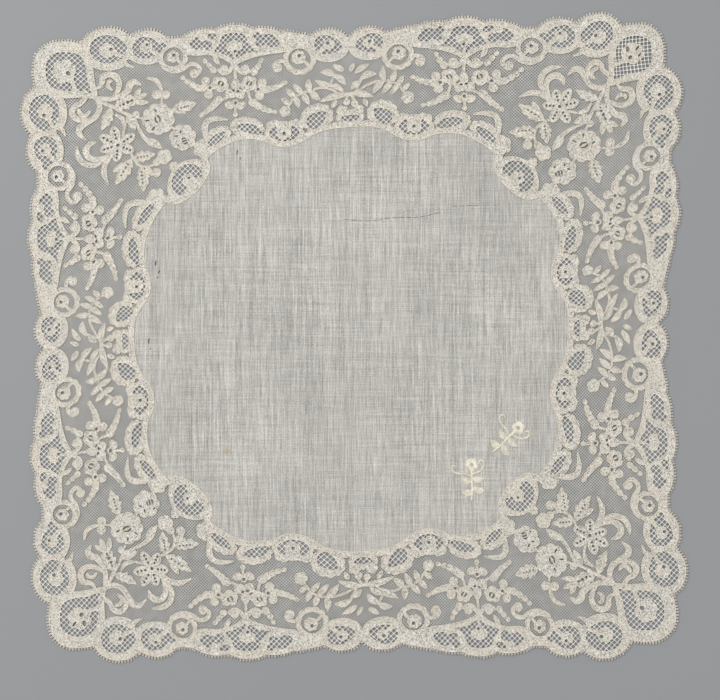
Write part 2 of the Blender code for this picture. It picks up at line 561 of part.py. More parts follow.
class Lie:
    """A thin-plate spline from the drawing to where the real cloth lies, about the middle of its outline."""

    def __init__(self, anchors):
        self.drawing = np.array([turned([(row.along, row.out)], -RIGHT_ANGLE * row.side)[0] for row in anchors])
        real = np.array([(row.x, row.y) for row in anchors])
        count = len(anchors)
        flat = np.hstack([np.ones((count, 1)), self.drawing])
        system = np.block([[self.pull(self.drawing) + SLACK * np.eye(count), flat],
                           [flat.T, np.zeros((3, 3))]])
        self.weights = np.linalg.solve(system, np.vstack([real, np.zeros((3, 2))]))
        self.middle = np.zeros(2)

    def pull(self, points):
        """How strongly each anchor pulls at each point."""
        distance = np.linalg.norm(points[:, None] - self.drawing[None], axis=2)
        return distance ** 2 * np.log(np.maximum(distance, MERGE))

    def __call__(self, points):
        """Where points of the drawing lie in the real cloth."""
        flat = np.hstack([np.ones((len(points), 1)), points])
        return self.pull(points) @ self.weights[:-3] + flat @ self.weights[-3:] - self.middle


def prism(name, outlines, low, high, material):
    """A flat solid between two heights, with the outlines as its rims."""
    points, triangles, held = triangulate(outlines)
    solid = one_body(points, [tri for tri, inside in zip(triangles, held) if len(inside) % 2])
    used = sorted({index for tri in solid for index in tri})
    place = {index: at for at, index in enumerate(used)}
    solid = [[place[index] for index in tri] for tri in solid]
    count = len(used)
    verts = [(*(points[index] * MM), height * MM) for height in (low, high) for index in used]
    faces = [tri[::-1] for tri in solid] + [[index + count for index in tri] for tri in solid]
    for rim in rims(solid):
        for a, b in zip(rim, rim[1:] + rim[:1]):
            faces += [(a, b, b + count), (a, b + count, a + count)]
    mesh = bpy.data.meshes.new(name)
    mesh.from_pydata(verts, [], faces)
    mesh.materials.append(material)
    obj = bpy.data.objects.new(name, mesh)
    bpy.context.collection.objects.link(obj)
    return obj


def principled(name, row):
    """A plain material with a colour and a roughness."""
    material = bpy.data.materials.new(name)
    material.use_nodes = True
    shader = material.node_tree.nodes["Principled BSDF"]
    shader.inputs["Base Color"].default_value = (*row.colour, 1.0)
    shader.inputs["Roughness"].default_value = row.roughness
    return material


def cloth_work():
    """The outlines of every piece of cloth work by name, each clear of those before it."""
    edge, inner = [], [(PLATE, seam_loop(SEAM_STRIP)), (WINDOW, seam_loop(-SEAM_COVER))]
    for side in range(SIDES):
        edge += edge_band(side)
        inner += inner_band(side)
    trims = {"edge_band": region(edge), "inner_band": region(inner)}
    sprays = [(f"corner_spray_{side}", corner_spray(side)) for side in range(SIDES)]
    for side in range(SIDES):
        sprays += [(f"bouquet_right_{side}", bouquet(side, False)),
                   (f"bouquet_left_{side}", bouquet(side, True)),
                   (f"side_spray_{side}", side_spray(side))]
    for name, loops in sprays:
        trims[name] = cut_back(region(loops), trims.values())
    return trims


def main():
    """Build the linen, the net, the cloth work and the sprigs."""
    for obj in list(bpy.data.objects):
        bpy.data.objects.remove(obj)
    linen = principled("linen", LINEN)
    net = principled("net", NET)
    cloth = principled("cloth_work", CLOTH_WORK)
    thread = principled("embroidery", EMBROIDERY)
    trims = cloth_work()
    lie = Lie(ANCHORS)
    centre = region([(PLATE, seam_loop())])
    ground = cut_back(region(net_ground()), [centre])
    everywhere = np.vstack([lie(loop) for loop in ground])
    lie.middle = (everywhere.min(axis=0) + everywhere.max(axis=0)) / 2
    over = SHEET + GAP
    prism("linen_centre", [lie(loop) for loop in centre], 0.0, SHEET, linen)
    prism("lace_ground", [lie(loop) for loop in ground], 0.0, SHEET, net)
    for name, outlines in trims.items():
        prism(name, [lie(loop) for loop in outlines], over, over + TRIM, cloth)
    for number, row in enumerate(SPRIGS):
        prism(f"sprig_{number}", [lie(loop) for loop in region(sprig(row))], over, over + TRIM, thread)


if __name__ == "__main__":
    main()
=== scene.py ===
"""A square lace handkerchief, laid flat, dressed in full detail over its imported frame.

The pattern is drawn in millimetres on an ideal square with four equal sides. In a side's own frame,
along runs from the middle of the side towards its right corner, and out runs away from the centre.
A thin-plate spline moves the drawing to where the slightly skewed cloth really lies.
"""
import json
import math
from collections import namedtuple

import bpy
import numpy as np
from bpy.props import FloatProperty, FloatVectorProperty, PointerProperty
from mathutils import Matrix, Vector
from mathutils.geometry import delaunay_2d_cdt

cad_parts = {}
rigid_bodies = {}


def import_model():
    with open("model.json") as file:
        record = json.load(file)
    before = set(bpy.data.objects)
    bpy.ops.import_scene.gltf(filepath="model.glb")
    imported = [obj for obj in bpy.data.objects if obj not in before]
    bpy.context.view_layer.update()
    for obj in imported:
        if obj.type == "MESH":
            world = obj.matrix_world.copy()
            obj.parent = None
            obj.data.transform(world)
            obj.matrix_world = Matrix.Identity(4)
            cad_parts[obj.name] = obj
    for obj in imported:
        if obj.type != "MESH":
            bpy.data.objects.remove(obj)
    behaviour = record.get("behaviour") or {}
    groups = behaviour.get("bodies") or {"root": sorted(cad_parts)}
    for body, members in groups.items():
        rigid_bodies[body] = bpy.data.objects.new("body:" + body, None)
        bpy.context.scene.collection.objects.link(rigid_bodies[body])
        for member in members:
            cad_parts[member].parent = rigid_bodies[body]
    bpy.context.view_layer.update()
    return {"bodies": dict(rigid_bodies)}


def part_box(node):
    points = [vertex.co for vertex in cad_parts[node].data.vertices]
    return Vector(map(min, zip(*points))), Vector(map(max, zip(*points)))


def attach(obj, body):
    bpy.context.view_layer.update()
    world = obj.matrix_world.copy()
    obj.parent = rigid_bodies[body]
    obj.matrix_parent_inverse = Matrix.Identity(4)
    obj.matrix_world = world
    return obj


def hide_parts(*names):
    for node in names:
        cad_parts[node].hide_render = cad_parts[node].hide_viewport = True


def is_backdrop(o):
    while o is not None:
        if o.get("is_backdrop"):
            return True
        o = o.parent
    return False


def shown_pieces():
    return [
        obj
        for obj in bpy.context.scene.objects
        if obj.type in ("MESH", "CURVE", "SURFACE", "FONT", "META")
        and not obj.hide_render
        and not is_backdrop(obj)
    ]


bl_info = {
    "name": "Lace Handkerchief",
    "version": (1, 0, 0),
    "blender": (4, 5, 0),
    "location": "View3D > Sidebar > Handkerchief",
    "description": "Builds a laid out lace handkerchief, piece by piece, over its packed frame",
    "category": "Add Mesh",
}

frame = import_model()
BODY = next(iter(frame["bodies"]))

MM = 0.001
SIDES = 4
RIGHT_ANGLE = 90.0

# how finely shapes are drawn, in millimetres
SAMPLE = 0.55           # distance between points on a drawn curve
TOLERANCE = 0.05        # how far a simplified outline may lie from its curve
SMALLEST = 0.25         # square millimetres: loops below this are dropped
SHORTEST = 0.12         # edges below this are dropped
MERGE = 1e-4            # points this close are one point
BLUNTEST = 0.5          # keeps a grown loop's sharpest corners from shooting out

# the rules of the drawn shapes
FEWEST_POINTS = 8       # on an oval
GIRTH = 1.5             # an oval's girth, as a share of its length and width together
PETAL_POINTS = 5        # the fewest on a petal's edge
PETAL_DEPTH = 0.2       # the deepest cut between petals, as a share of the radius
PETAL_CUT = 0.375       # its depth as a share of a petal's width, where that is less
PETAL_FULLNESS = 0.7
LEAF_POINTS = 7         # the fewest on one edge of a leaf
LEAF_FOOT = 0.3         # half the width at a leaf's foot
LEAF_LEAN = 0.85        # moves a leaf's widest part towards its foot
LEAF_FULLNESS = 0.9
LOBED_FROM = 6.3        # a leaf wider than this has a toothed edge
LEAF_LOBES = 4
LOBE_DEPTH = 0.52
LOBE_SHARE = 0.62       # where between two notches a tooth has the leaf's own width
POINTED = 1.0           # a band wider than this ends round, a narrower one in a point
BEAD = (2.5, 2.0)       # length and width of a bead in a chain, in its radii

# how the drawing is fitted to the real cloth
SLACK = 40.0            # how loosely the spline holds its landmarks
SETTLES = 4             # rounds in which a real place is looked up in the drawing
RIM = (227.0, 221.0)    # half the cloth's sides
RIM_FROM = 0.86         # the rim begins to lift here, as a share of that
RIM_LIFT = 1.8
WAVE_LIFT = 0.5

# what shows at a spot of the drawing: each one covers those before it
OUTSIDE, NET, LINEN, PLATE, SEWN, WINDOW, SQUARED, NETTED, FLORET, EYELET, KNOT = range(11)
CLOTH_WORK = (PLATE, FLORET, KNOT)

# the fine grid on which threads are cut to the open parts
REACH = 240.0
CELL = 0.16
SHORTEST_RUN = 0.45
DRIFT = 0.07            # how far a thread strays sideways

# heights above the cloth's own lie
LINEN_HEIGHT = 0.40
NET_HEIGHTS = (0.12, 0.26)
WINDOW_HEIGHTS = (0.36, 0.56)
WORK_HEIGHT = 0.62
CORD_HEIGHT = 0.66
PICOT_HEIGHT = 0.52
STITCH_HEIGHT = 0.50

# threads and stitches, in millimetres and degrees
NET_HEADINGS = (45.0, -45.0)
NET_TUCK = 0.55         # how far a thread runs on under the cloth work
NET_STEP = 2.2          # the longest straight stretch of a thread
WINDOW_HEADINGS = ((WINDOW, (45.0, 135.0)), (SQUARED, (2.0, 92.0)))
WINDOW_TUCK = 0.8
WINDOW_STEP = 3.0
LINEN_GRID = 1.9
WORK_GRID = 3.0
THIN_SIDES = 3
WINDOW_SIDES = 4
SMALLEST_CORDED = 4.5   # square millimetres: smaller loops have no cord
KNOT_SHAPE = (0.74, 0.74, 0.42)
KNOT_SIZES = (1.5, 2.0)
PICOT_POINTS = 6
PICOT_WIDTH = 0.21      # half a loop's width, as a share of the spacing
PICOT_SIZES = (0.8, 1.12)
SEAM_SPACING = 1.25
SEAM_STITCH = 0.55
SEAM_THREAD = 0.13
STITCH_SIZES = (0.7, 1.2)
KNOT_SEED, PICOT_SEED, STITCH_SEED = 3, 5, 7
SATIN_PITCH = 0.36
SATIN_THREAD = 0.42
SATIN_POINTS = 5
SATIN_EYE = 0.28
SATIN_NOTCH = 0.22      # how far the stitches between petals stay back
SATIN_HEIGHT = 0.52
SATIN_RISE = 0.42

# the stage, in metres and watts
FLOOR_SIZE = 4.0
FLOOR_LEVEL = -0.0001
LAMPS = (("key", (-1.3, 1.1, 1.7), 1.1, 34.0), ("fill", (1.6, -0.9, 1.6), 1.6, 9.0))
ROOM_LIGHT = 0.55
WHITE = (1.0, 1.0, 1.0, 1.0)
LENS = 85.0
SENSOR = 36.0
AIM = (0.0041, -0.0085)
VIEW_WIDTH = 0.4896

# where the windows of a corner, the bouquets and the side sprays are drawn
CORNER = 189.7
BEAN = 110.8
BOUQUET_ROOT = (76.8, 190.8)
SPRAY_ROOT = (0.0, 168.4)


def srgb(*levels):
    """A colour of 0 to 255 levels, as Blender's linear values."""
    return tuple((level / 255 / 12.92) if level < 11 else ((level / 255 + 0.055) / 1.055) ** 2.4
                 for level in levels)


Oval = namedtuple("Oval", "along out length width turn taper bow", defaults=(0, 0.0, 0.0))
Blossom = namedtuple("Blossom", "along out radius petals squash turn", defaults=(1.0, 0))
Band = namedtuple("Band", "route widths")
Leaf = namedtuple("Leaf", "along out tip_along tip_out width bend", defaults=(0.0,))
Bud = namedtuple("Bud", "along out radius")
Chain = namedtuple("Chain", "along out end_along end_out count first last bend")
Sprig = namedtuple("Sprig", "x y turn")
Landmark = namedtuple("Landmark", "along out places")
Holes = namedtuple("Holes", "count radius first last")
Layer = namedtuple("Layer", "wide deep detail share")

# edge band, half a side
EDGE_PLATES = (
    Oval(13.4, 201.6, 27.6, 21.8), Oval(54.6, 206.2, 34.0, 16.4, 10), Oval(76.8, 206.6, 34.0, 22.0),
    Oval(99.4, 206.6, 31.0, 17.4, -8), Oval(136.8, 205.2, 29.6, 23.6), Oval(162.7, 204.8, 34.6, 29.6),
)
EDGE_BANDS = (
    Band([(22, 202.6), (29, 204.6), (36, 205.8), (44, 206.4)], [9, 9.4, 10, 12]),
    Band([(108, 205.4), (115, 205.6), (121, 206.0), (129, 206.4)], [11.5, 9.6, 8.6, 10]),
    Band([(76.8, 191.4), (81.0, 194.4), (85.6, 197.0), (91, 198.8), (98, 199.8), (106, 200.2), (113, 200.6)],
         [3.4, 3.0, 3.2, 3.2, 3.2, 3.4, 4.0]),
    Band([(76.8, 191.4), (72.6, 193.4), (67.4, 195.6), (61, 197.4), (53, 198.8), (45, 200.2), (38, 201.4)],
         [3.4, 3.0, 3.2, 3.2, 3.2, 3.6, 5.0]),
    Band([(39.8, 190.8), (43.6, 192.2), (47.6, 191.4), (49.6, 188.6)], [2.6, 2.2, 2.4, 2.6]),
    Bud(47.2, 187.6, 2.9),
    Band([(126, 190.5), (119, 187.6), (112.5, 188.6), (108.0, 191.6), (103.6, 191.4), (100.6, 188.4),
          (101.2, 185.2)], [2.0, 3.0, 2.8, 2.4, 2.4, 2.4, 2.2]),
    Bud(104.4, 185.0, 2.9),
    Band([(150.6, 193.4), (145.8, 191.6)], [2.4, 0.6]),
)
EDGE_RINGS = (Blossom(32.6, 193.3, 10.8, 12), Blossom(119.0, 197.2, 10.2, 12))
EDGE_WINDOWS = (
    Oval(13.6, 202.2, 19.2, 13.2, 8, -0.25), Oval(52.4, 206.2, 14.0, 9.2, 20, -0.1),
    Oval(60.2, 209.4, 8.4, 5.6, 35), Oval(59.2, 204.8, 6.4, 5.6), Oval(91.8, 210.4, 7.6, 5.0, 15),
    Oval(101.6, 206.4, 12.6, 9.4, -15), Oval(94.8, 204.0, 7.2, 7.4),
    Oval(136.7, 205.0, 21.0, 15.6, 6, -0.25), Oval(125.4, 206.2, 5.0, 3.8, 30),
    Oval(162.5, 205.0, 24.6, 20.4, 0, -0.10),
)
RING_WINDOWS = (
    Oval(32.6, 193.3, 15.4, 14.8, 20), Oval(119.0, 197.6, 14.8, 14.2, -20),
    Oval(149.0, 196.2, 5.4, 3.0, 35, 0.3),
)
SHIELD = ((-7.6, 7.6), (-3.6, 9.6), (3.6, 9.8), (8.2, 7.6), (11.0, 1.8), (13.6, -3.0), (6.8, -5.4),
          (0, -9.2), (-6.8, -5.4), (-13.6, -3.0), (-10.6, 1.8))
SHIELD_MIDDLE = (76.8, 202.8)
EDGE_FLORETS = (
    Blossom(13.0, 202.6, 3.7, 6), Blossom(56.4, 200.8, 2.6, 5), Blossom(76.6, 203.0, 5.8, 6, 0.68),
    Bud(76.0, 199.4, 1.9), Blossom(98.4, 210.4, 2.8, 5), Blossom(137.6, 205.6, 4.3, 6),
    Blossom(163.6, 204.2, 5.2, 7), Blossom(33.4, 194.4, 4.6, 7), Blossom(119.2, 197.8, 4.2, 6),
)
EDGE_STEMS = (
    Band([(13.4, 202), (17.5, 199.0), (21, 197.2)], [1.8, 1.6, 2.2]),
    Band([(76.0, 200), (76.4, 196.6), (76.8, 192)], [1.6, 1.3, 1.6]),
    Band([(136, 204), (131, 200.8), (127.6, 198.4)], [2.4, 1.8, 2.2]),
    Band([(161, 203.6), (155.6, 201.0), (150.6, 198.4)], [2.6, 2.2, 2.6]),
    Band([(33, 194), (28.6, 191), (25.4, 187.4)], [1.8, 1.5, 2.0]),
    Band([(118, 197), (114.6, 193.6), (112.6, 190)], [1.8, 1.5, 2.0]),
)
EDGE_EYES = (
    Bud(13.9, 203.5, 1.15), Bud(76.0, 199.6, 1.0), Bud(137.0, 207.4, 1.3), Bud(161.0, 205.2, 1.5),
    Bud(32.8, 195.6, 1.2), Bud(118.6, 198.8, 1.2),
)

# the corner window, from its own middle in the top right corner
CARTOUCHE_PLATE = ((-18.6, -19.4), (-6.5, -18.0), (4.5, -17.2), (15.2, -14.5), (20.2, -4.0), (19.4, 9.6),
                   (11.8, 18.6), (0, 20.6), (-10.5, 18.8), (-17.2, 12.6), (-18.2, 2.0), (-18.0, -9.5))
CARTOUCHE = ((-15.2, -16.2), (-6.5, -14.0), (3.5, -12.8), (11.0, -9.0), (13.4, 0.0), (11.8, 9.0),
             (4.0, 13.0), (-6.0, 12.4), (-12.0, 7.0), (-14.0, -2.0), (-14.4, -9.5))
CARTOUCHE_STEM = Band([(-14.6, -5.6), (-10.6, -5.2), (-5.6, -3.4)], [3.4, 2.0, 2.6])
CARTOUCHE_FLORET = Blossom(-0.5, 0.9, 8.3, 6, 0.9, 10)
CARTOUCHE_EYES = (
    Oval(-1.8, -1.8, 3.8, 3.2, 40), Oval(-3.6, 4.2, 4.6, 3.2, 100, 0.2), Oval(3.4, 4.4, 4.6, 2.1, 52),
    Oval(4.8, -0.6, 3.6, 1.9, 44),
)
CARTOUCHE_HOLES = (4, 1, 3, 1)    # how many of them each corner has

# corner spray, from the middle of the corner window
CORNER_BANDS = (
    Band([(-19.2, -20.0), (-22.6, -24.2), (-26.6, -31.2), (-32.0, -40.6),
         (-35.3, -51.7)], [3.0, 2.2, 1.7, 1.5, 1.5]),
    Band([(-18.2, -18.2), (-21.2, -20.5), (-26.2, -21.2), (-31.7, -18.5), (-35.3, -12.9), (-38.5, -8.1),
         (-42.7, -7.3), (-47.2, -11.2)], [2.4, 3.0, 3.2, 3.2, 3.4, 4.0, 3.4, 0.6]),
    Band([(-33.9, -12.7), (-33.1, -6.7), (-28.9, -3.1), (-24.3, -4.9), (-22.3, -9.1), (-19.1, -11.7),
         (-15.2, -12.5)], [2.4, 3.2, 3.6, 3.2, 2.6, 2.8, 3.4]),
    Band([(-26.5, -7.3), (-29.8, -8.7), (-30.8, -11.9), (-28.5, -14.5)], [2.0, 2.4, 2.4, 1.4]),
    Band([(-19.5, -21.2), (-20.1, -28.2), (-18.1, -34.9), (-14.3, -39.9), (-10.3, -41.3), (-8.5, -44.5),
         (-11.1, -48.5)], [2.6, 3.0, 3.4, 3.8, 4.4, 3.6, 0.6]),
    Band([(-12.1, -16.7), (-11.7, -20.7), (-8.5, -23.1), (-4.7, -23.5), (-2.5, -27.3), (-4.1, -31.7),
         (-8.7, -34.1), (-14.1, -33.3), (-17.9, -30.7)], [1.4, 1.8, 2.8, 3.4, 3.8, 3.6, 3.2, 2.6, 1.6]),
    Band([(-13.7, -29.5), (-11.1, -26.9), (-7.7, -27.7), (-7.5, -29.7)], [1.2, 2.2, 2.2, 1.0]),
    Band([(-58.5, -26.7), (-60.5, -21.3), (-60.9, -16.3), (-58.3, -12.3), (-54.1, -11.3), (-50.5, -13.9),
         (-49.5, -17.7)], [1.2, 2.2, 3.2, 3.8, 4.0, 3.0, 0.8]),
    Band([(-56.1, -29.2), (-61.3, -23.1), (-64.9, -16.7), (-63.1, -9.7), (-58.1, -6.1),
         (-51.7, -5.3)], [1.2, 1.8, 3.2, 3.6, 3.2, 0.8]),
    Band([(-57.2, -30.1), (-63.7, -24.3), (-70.7, -22.9), (-78.3, -25.7)], [1.6, 3.2, 3.4, 0.8]),
    Band([(-52.6, -37.4), (-57.4, -40.6), (-62.5, -43.0), (-67.1, -46.5), (-68.8, -51.3), (-67.8, -56.1),
         (-64.7, -60.7)], [1.8, 1.5, 1.4, 1.3, 1.2, 1.2, 1.2]),
    Band([(-33.9, -44.1), (-41.7, -46.7), (-48.3, -50.3), (-53.1, -54.3)], [1.3, 1.5, 2.2, 2.8]),
    Band([(-26.2, -62.3), (-19.5, -62.7), (-12.3, -61.5), (-7.9, -58.3),
         (-6.3, -52.9)], [1.2, 1.3, 2.2, 2.6, 1.2]),
    Band([(-41.0, -66.8), (-45.0, -73.0)], [1.4, 1.4]),
    Band([(-50.6, -35.3), (-42.4, -36.8), (-31.6, -39.8)], [1.4, 1.2, 1.2]),
    Band([(-39.7, -36.7), (-34.5, -35.9), (-31.1, -31.3)], [1.0, 2.6, 1.0]),
)
CORNER_LEAVES = (
    Leaf(-30.5, -69.7, -25.7, -86.2, 8.6), Leaf(-62.3, -41.5, -78.9, -30.5, 7.4, 0.6),
    Leaf(-68.3, -47.7, -85.1, -49.5, 7.6, 0.8), Leaf(-62.3, -42.4, -60.5, -57.4, 7.0),
    Leaf(-26.1, -30.9, -19.8, -47.3, 9.4, 0.4), Leaf(-65.5, -39.1, -70.1, -28.5, 4.2),
    Leaf(-50.1, -51.3, -57.3, -62.1, 4.6, 0.8), Leaf(-31.9, -40.4, -42.8, -44.2, 5.2),
    Leaf(-26.5, -28.5, -41.3, -21.9, 6.6, 0.8), Leaf(-23.2, -45.0, -23.8, -53.6, 3.2),
    Leaf(-20.4, -46.0, -17.0, -53.2, 3.0), Leaf(-19.6, -44.6, -13.1, -48.5, 2.8),
    Leaf(-68.5, -51.1, -75.1, -55.5, 3.4),
)
CORNER_BUDS = (
    Bud(-31.8, -45.0, 2.2), Bud(-73.1, -58.1, 2.8), Bud(-66.3, -58.5, 2.4), Bud(-18.5, -59.1, 2.9),
    Bud(-18.9, -65.3, 2.8),
)
CORNER_BLOSSOMS = (
    Blossom(-35.9, -60.1, 11.3, 9, 0.97), Blossom(-49.9, -76.5, 9.2, 7), Blossom(-62.7, -63.5, 5.2, 5),
)
CORNER_EYES = (
    Oval(-36.1, -59.5, 6.6, 5.0, 6), Oval(-42.3, -56.5, 3.4, 1.2, -35), Oval(-29.7, -58.1, 3.0, 1.2, 30),
    Oval(-36.5, -52.7, 1.2, 2.8), Oval(-52.5, -77.7, 5.4, 4.2, 30), Oval(-45.9, -75.1, 2.6, 1.1, -20),
    Oval(-48.7, -72.1, 1.1, 2.4), Oval(-55.3, -73.3, 2.0, 1.0, 40), Bud(-24.3, -36.9, 0.9),
    Bud(-22.8, -39.7, 1.1), Bud(-21.5, -42.5, 0.85),
)
CORNER_KNOTS = (
    Band([(-40.0, -61.2), (-37.6, -60.2), (-36.1, -59.5), (-34.6, -58.8), (-32.2, -57.8)],
         [0.6, 0.35, 1.3, 0.35, 0.6]),
    Band([(-54.6, -76.2), (-53.4, -77.8), (-53.0, -80.2)], [0.4, 0.35, 0.4]),
    Band([(-52.0, -75.2), (-51.2, -77.2), (-51.0, -79.6)], [0.4, 0.35, 0.4]),
)
STAR = (-52.3, -32.5)
STAR_TIPS = ((12.8, 2.8), (7.2, 11.8), (-2.9, 11.6), (-11.0, 1.2), (-5.2, -10.4), (6.4, -11.4))
STAR_PETAL = 6.2        # a petal's width
STAR_MIDDLE = 2.7
STAR_EYE = 1.15
PETAL_HOLES = Holes(3, 0.82, 0.37, 0.78)
VEIN_HOLES = Holes(4, 0.62, 0.22, 0.64)
VEINED = 5              # so many of the corner's leaves have holes along their vein

# bouquet, from the point of the shield window, along towards the corner
BOUQUET_BANDS = (
    Band([(0.8, -1.4), (3.4, -5.2), (7.2, -6.4), (10.6, -4.0)], [2.6, 2.4, 2.2, 2.2]),
    Band([(-0.8, -1.4), (-3.8, -5.0), (-7.4, -6.6), (-10.8, -4.6)], [2.6, 2.4, 2.2, 2.0]),
    Band([(-0.2, -0.8), (-0.8, -6.8), (-1.0, -11.8)], [2.6, 1.4, 1.4]),
    Band([(3.0, -21.4), (6.8, -24.2), (10.2, -25.0)], [1.2, 1.2, 1.4]),
    Band([(-9.6, -17.4), (-10.2, -21.4), (-12.0, -25.8)], [1.2, 1.2, 1.6]),
    Band([(13.0, -14.4), (15.8, -15.4)], [1.2, 1.2]),
    Band([(-14.4, -15.4), (-16.0, -16.6)], [1.2, 1.2]),
    Band([(-0.8, -27.8), (-0.7, -31.2), (-0.7, -34.2)], [1.8, 1.2, 1.6]),
)
BOUQUET_BLOSSOMS = (
    Blossom(9.8, -14.0, 6.0, 5, 0.88, 20), Blossom(-10.0, -13.9, 6.0, 5, 0.88, -40),
    Blossom(-4.0, -20.9, 3.5, 4, 0.95, 20), Blossom(2.6, -20.5, 3.7, 4, 0.95), Blossom(16.8, -16.2, 2.4, 5),
    Blossom(-16.4, -17.6, 2.4, 5), Blossom(-0.9, -26.9, 2.1, 5),
)
BOUQUET_LEAVES = (Leaf(-1.1, -10.2, -0.9, -21.2, 5.2), Leaf(13.8, 7.0, 9.6, -0.4, 2.6, 0.5))
BOUQUET_EYES = (
    Oval(9.2, -13.4, 5.0, 4.2, 30), Oval(-10.4, -13.6, 4.8, 3.8, -20), Oval(-2.7, -19.0, 2.1, 1.7),
    Oval(0.5, -18.4, 2.4, 1.5, 30), Bud(16.8, -16.2, 1.05), Bud(-16.4, -17.6, 1.05), Bud(-0.9, -26.9, 1.1),
)
BOUQUET_KNOTS = (
    Band([(11.0, -16.4), (9.8, -14.6), (9.2, -13.4), (8.6, -12.2), (7.8, -10.6)],
         [0.5, 0.35, 1.1, 0.35, 0.5]),
    Band([(-12.0, -11.2), (-11.0, -12.6), (-10.4, -13.6), (-9.8, -14.6), (-9.0, -16.2)],
         [0.5, 0.35, 1.0, 0.35, 0.5]),
)
BOUQUET_BUDS = (
    Bud(7.0, -3.3, 2.6), Bud(-7.5, -3.5, 2.7), Bud(19.8, -11.4, 2.7), Bud(17.8, -21.0, 2.8),
    Bud(21.8, -16.2, 2.5), Bud(-19.2, -13.4, 2.8), Bud(-17.6, -22.0, 2.9), Bud(-0.7, -35.2, 1.5),
    Oval(-5.0, -28.9, 6.6, 4.6, -30, -0.2), Oval(3.4, -28.6, 6.2, 4.8, 20, 0.2),
)
BOUQUET_CHAINS = (
    Chain(11.4, -25.4, 22.8, -35.2, 5, 2.6, 1.4, -0.6),
    Chain(25.2, -16.0, 35.6, -8.4, 4, 2.2, 1.4, -0.6),
    Chain(14.4, -3.8, 20.0, 2.6, 3, 1.9, 1.3, 0.0),
    Chain(-14.0, -5.6, -18.4, 1.8, 3, 2.2, 1.3, 0.4),
    Chain(-21.8, -18.0, -34.4, -13.4, 5, 2.3, 1.3, 0.8),
    Chain(-13.2, -27.0, -27.8, -33.4, 5, 2.6, 1.3, 0.9),
)

# side spray, from its root near the middle of the side
SPRAY_BANDS = (
    Band([(0, 0), (-7.2, 0.6), (-12.4, 3.9), (-19.5, 5.2), (-25.6, 3.0), (-30.0, 2.4), (-36.2, -1.4),
          (-41.0, -8.6)], [1.8, 1.3, 1.2, 1.2, 1.2, 1.2, 1.2, 1.2]),
    Band([(0, 0), (4.0, 1.3), (11.0, 5.2), (17.6, 7.2), (23.4, 7.6), (28.4, 6.4), (33.0, 3.6),
          (37.6, -3.6)], [1.8, 1.3, 1.2, 1.2, 1.2, 1.2, 1.2, 1.2]),
    Band([(-12.4, 3.9), (-12.0, 8.4), (-9.8, 13.6)], [1.2, 1.2, 1.2]),
    Band([(4.0, 1.3), (7.0, 8.0), (8.0, 11.0)], [1.2, 1.2, 1.2]),
    Band([(0, 0), (-2.0, -2.0), (-2.3, -4.6)], [1.4, 1.2, 1.4]),
    Band([(0, 0), (2.2, -2.6), (2.9, -5.6)], [1.4, 1.2, 1.4]),
)
SPRAY_LEAVES = (
    Leaf(-1.6, 0.2, -19.8, -4.4, 3.8, -0.8), Leaf(1.6, 0.4, 15.6, -3.2, 3.8, 0.8),
    Leaf(-12.2, 6.2, -22.4, 10.4, 3.4, 0.8), Leaf(-11.8, 6.8, -4.0, 1.6, 3.2, 0.6),
    Leaf(-10.0, 13.2, -19.2, 15.4, 4.0, -1.2), Leaf(-10.0, 13.2, -2.4, 6.2, 3.8, 0.8),
    Leaf(7.6, 10.2, 18.0, 12.2, 4.0, 1.4), Leaf(6.9, 8.0, 1.0, 2.9, 3.6, -0.6),
    Leaf(-25.8, 3.0, -26.6, 11.2, 3.6, 0.6), Leaf(-25.6, 3.4, -19.2, -3.2, 3.8, -0.6),
    Leaf(22.8, 7.2, 22.6, 17.4, 3.6, 0.6), Leaf(22.8, 8.0, 15.2, -1.0, 3.8, -0.6),
    Leaf(-31.0, 1.8, -36.8, 8.0, 3.4), Leaf(-30.8, 2.4, -26.4, -6.2, 3.4),
    Leaf(-35.6, -1.2, -41.4, 4.8, 3.2), Leaf(-35.4, -0.6, -32.8, -7.8, 3.2),
    Leaf(-39.4, -5.6, -44.6, -1.6, 3.0), Leaf(28.3, 6.2, 30.8, 14.2, 3.4), Leaf(28.3, 6.6, 21.4, -1.2, 3.4),
    Leaf(32.4, 3.8, 36.0, 10.6, 3.2), Leaf(32.6, 4.2, 27.0, -2.2, 3.2), Leaf(35.4, 0.2, 40.4, 5.0, 3.0),
    Leaf(-9.0, -4.0, -12.0, -8.8, 2.6), Leaf(9.4, -4.2, 11.4, -9.2, 2.6),
    Leaf(-4.0, 16.0, -10.6, 20.4, 3.0), Leaf(0.4, 15.3, 3.4, 21.0, 2.6),
    Leaf(4.0, 14.2, 13.2, 19.4, 3.2, 0.6),
)
SPRAY_BUDS = (Bud(-2.3, -5.4, 2.0), Bud(2.9, -6.6, 2.2))
SPRAY_BLOSSOMS = (Blossom(-42.0, -10.4, 3.6, 5), Blossom(38.6, -5.2, 4.2, 5))

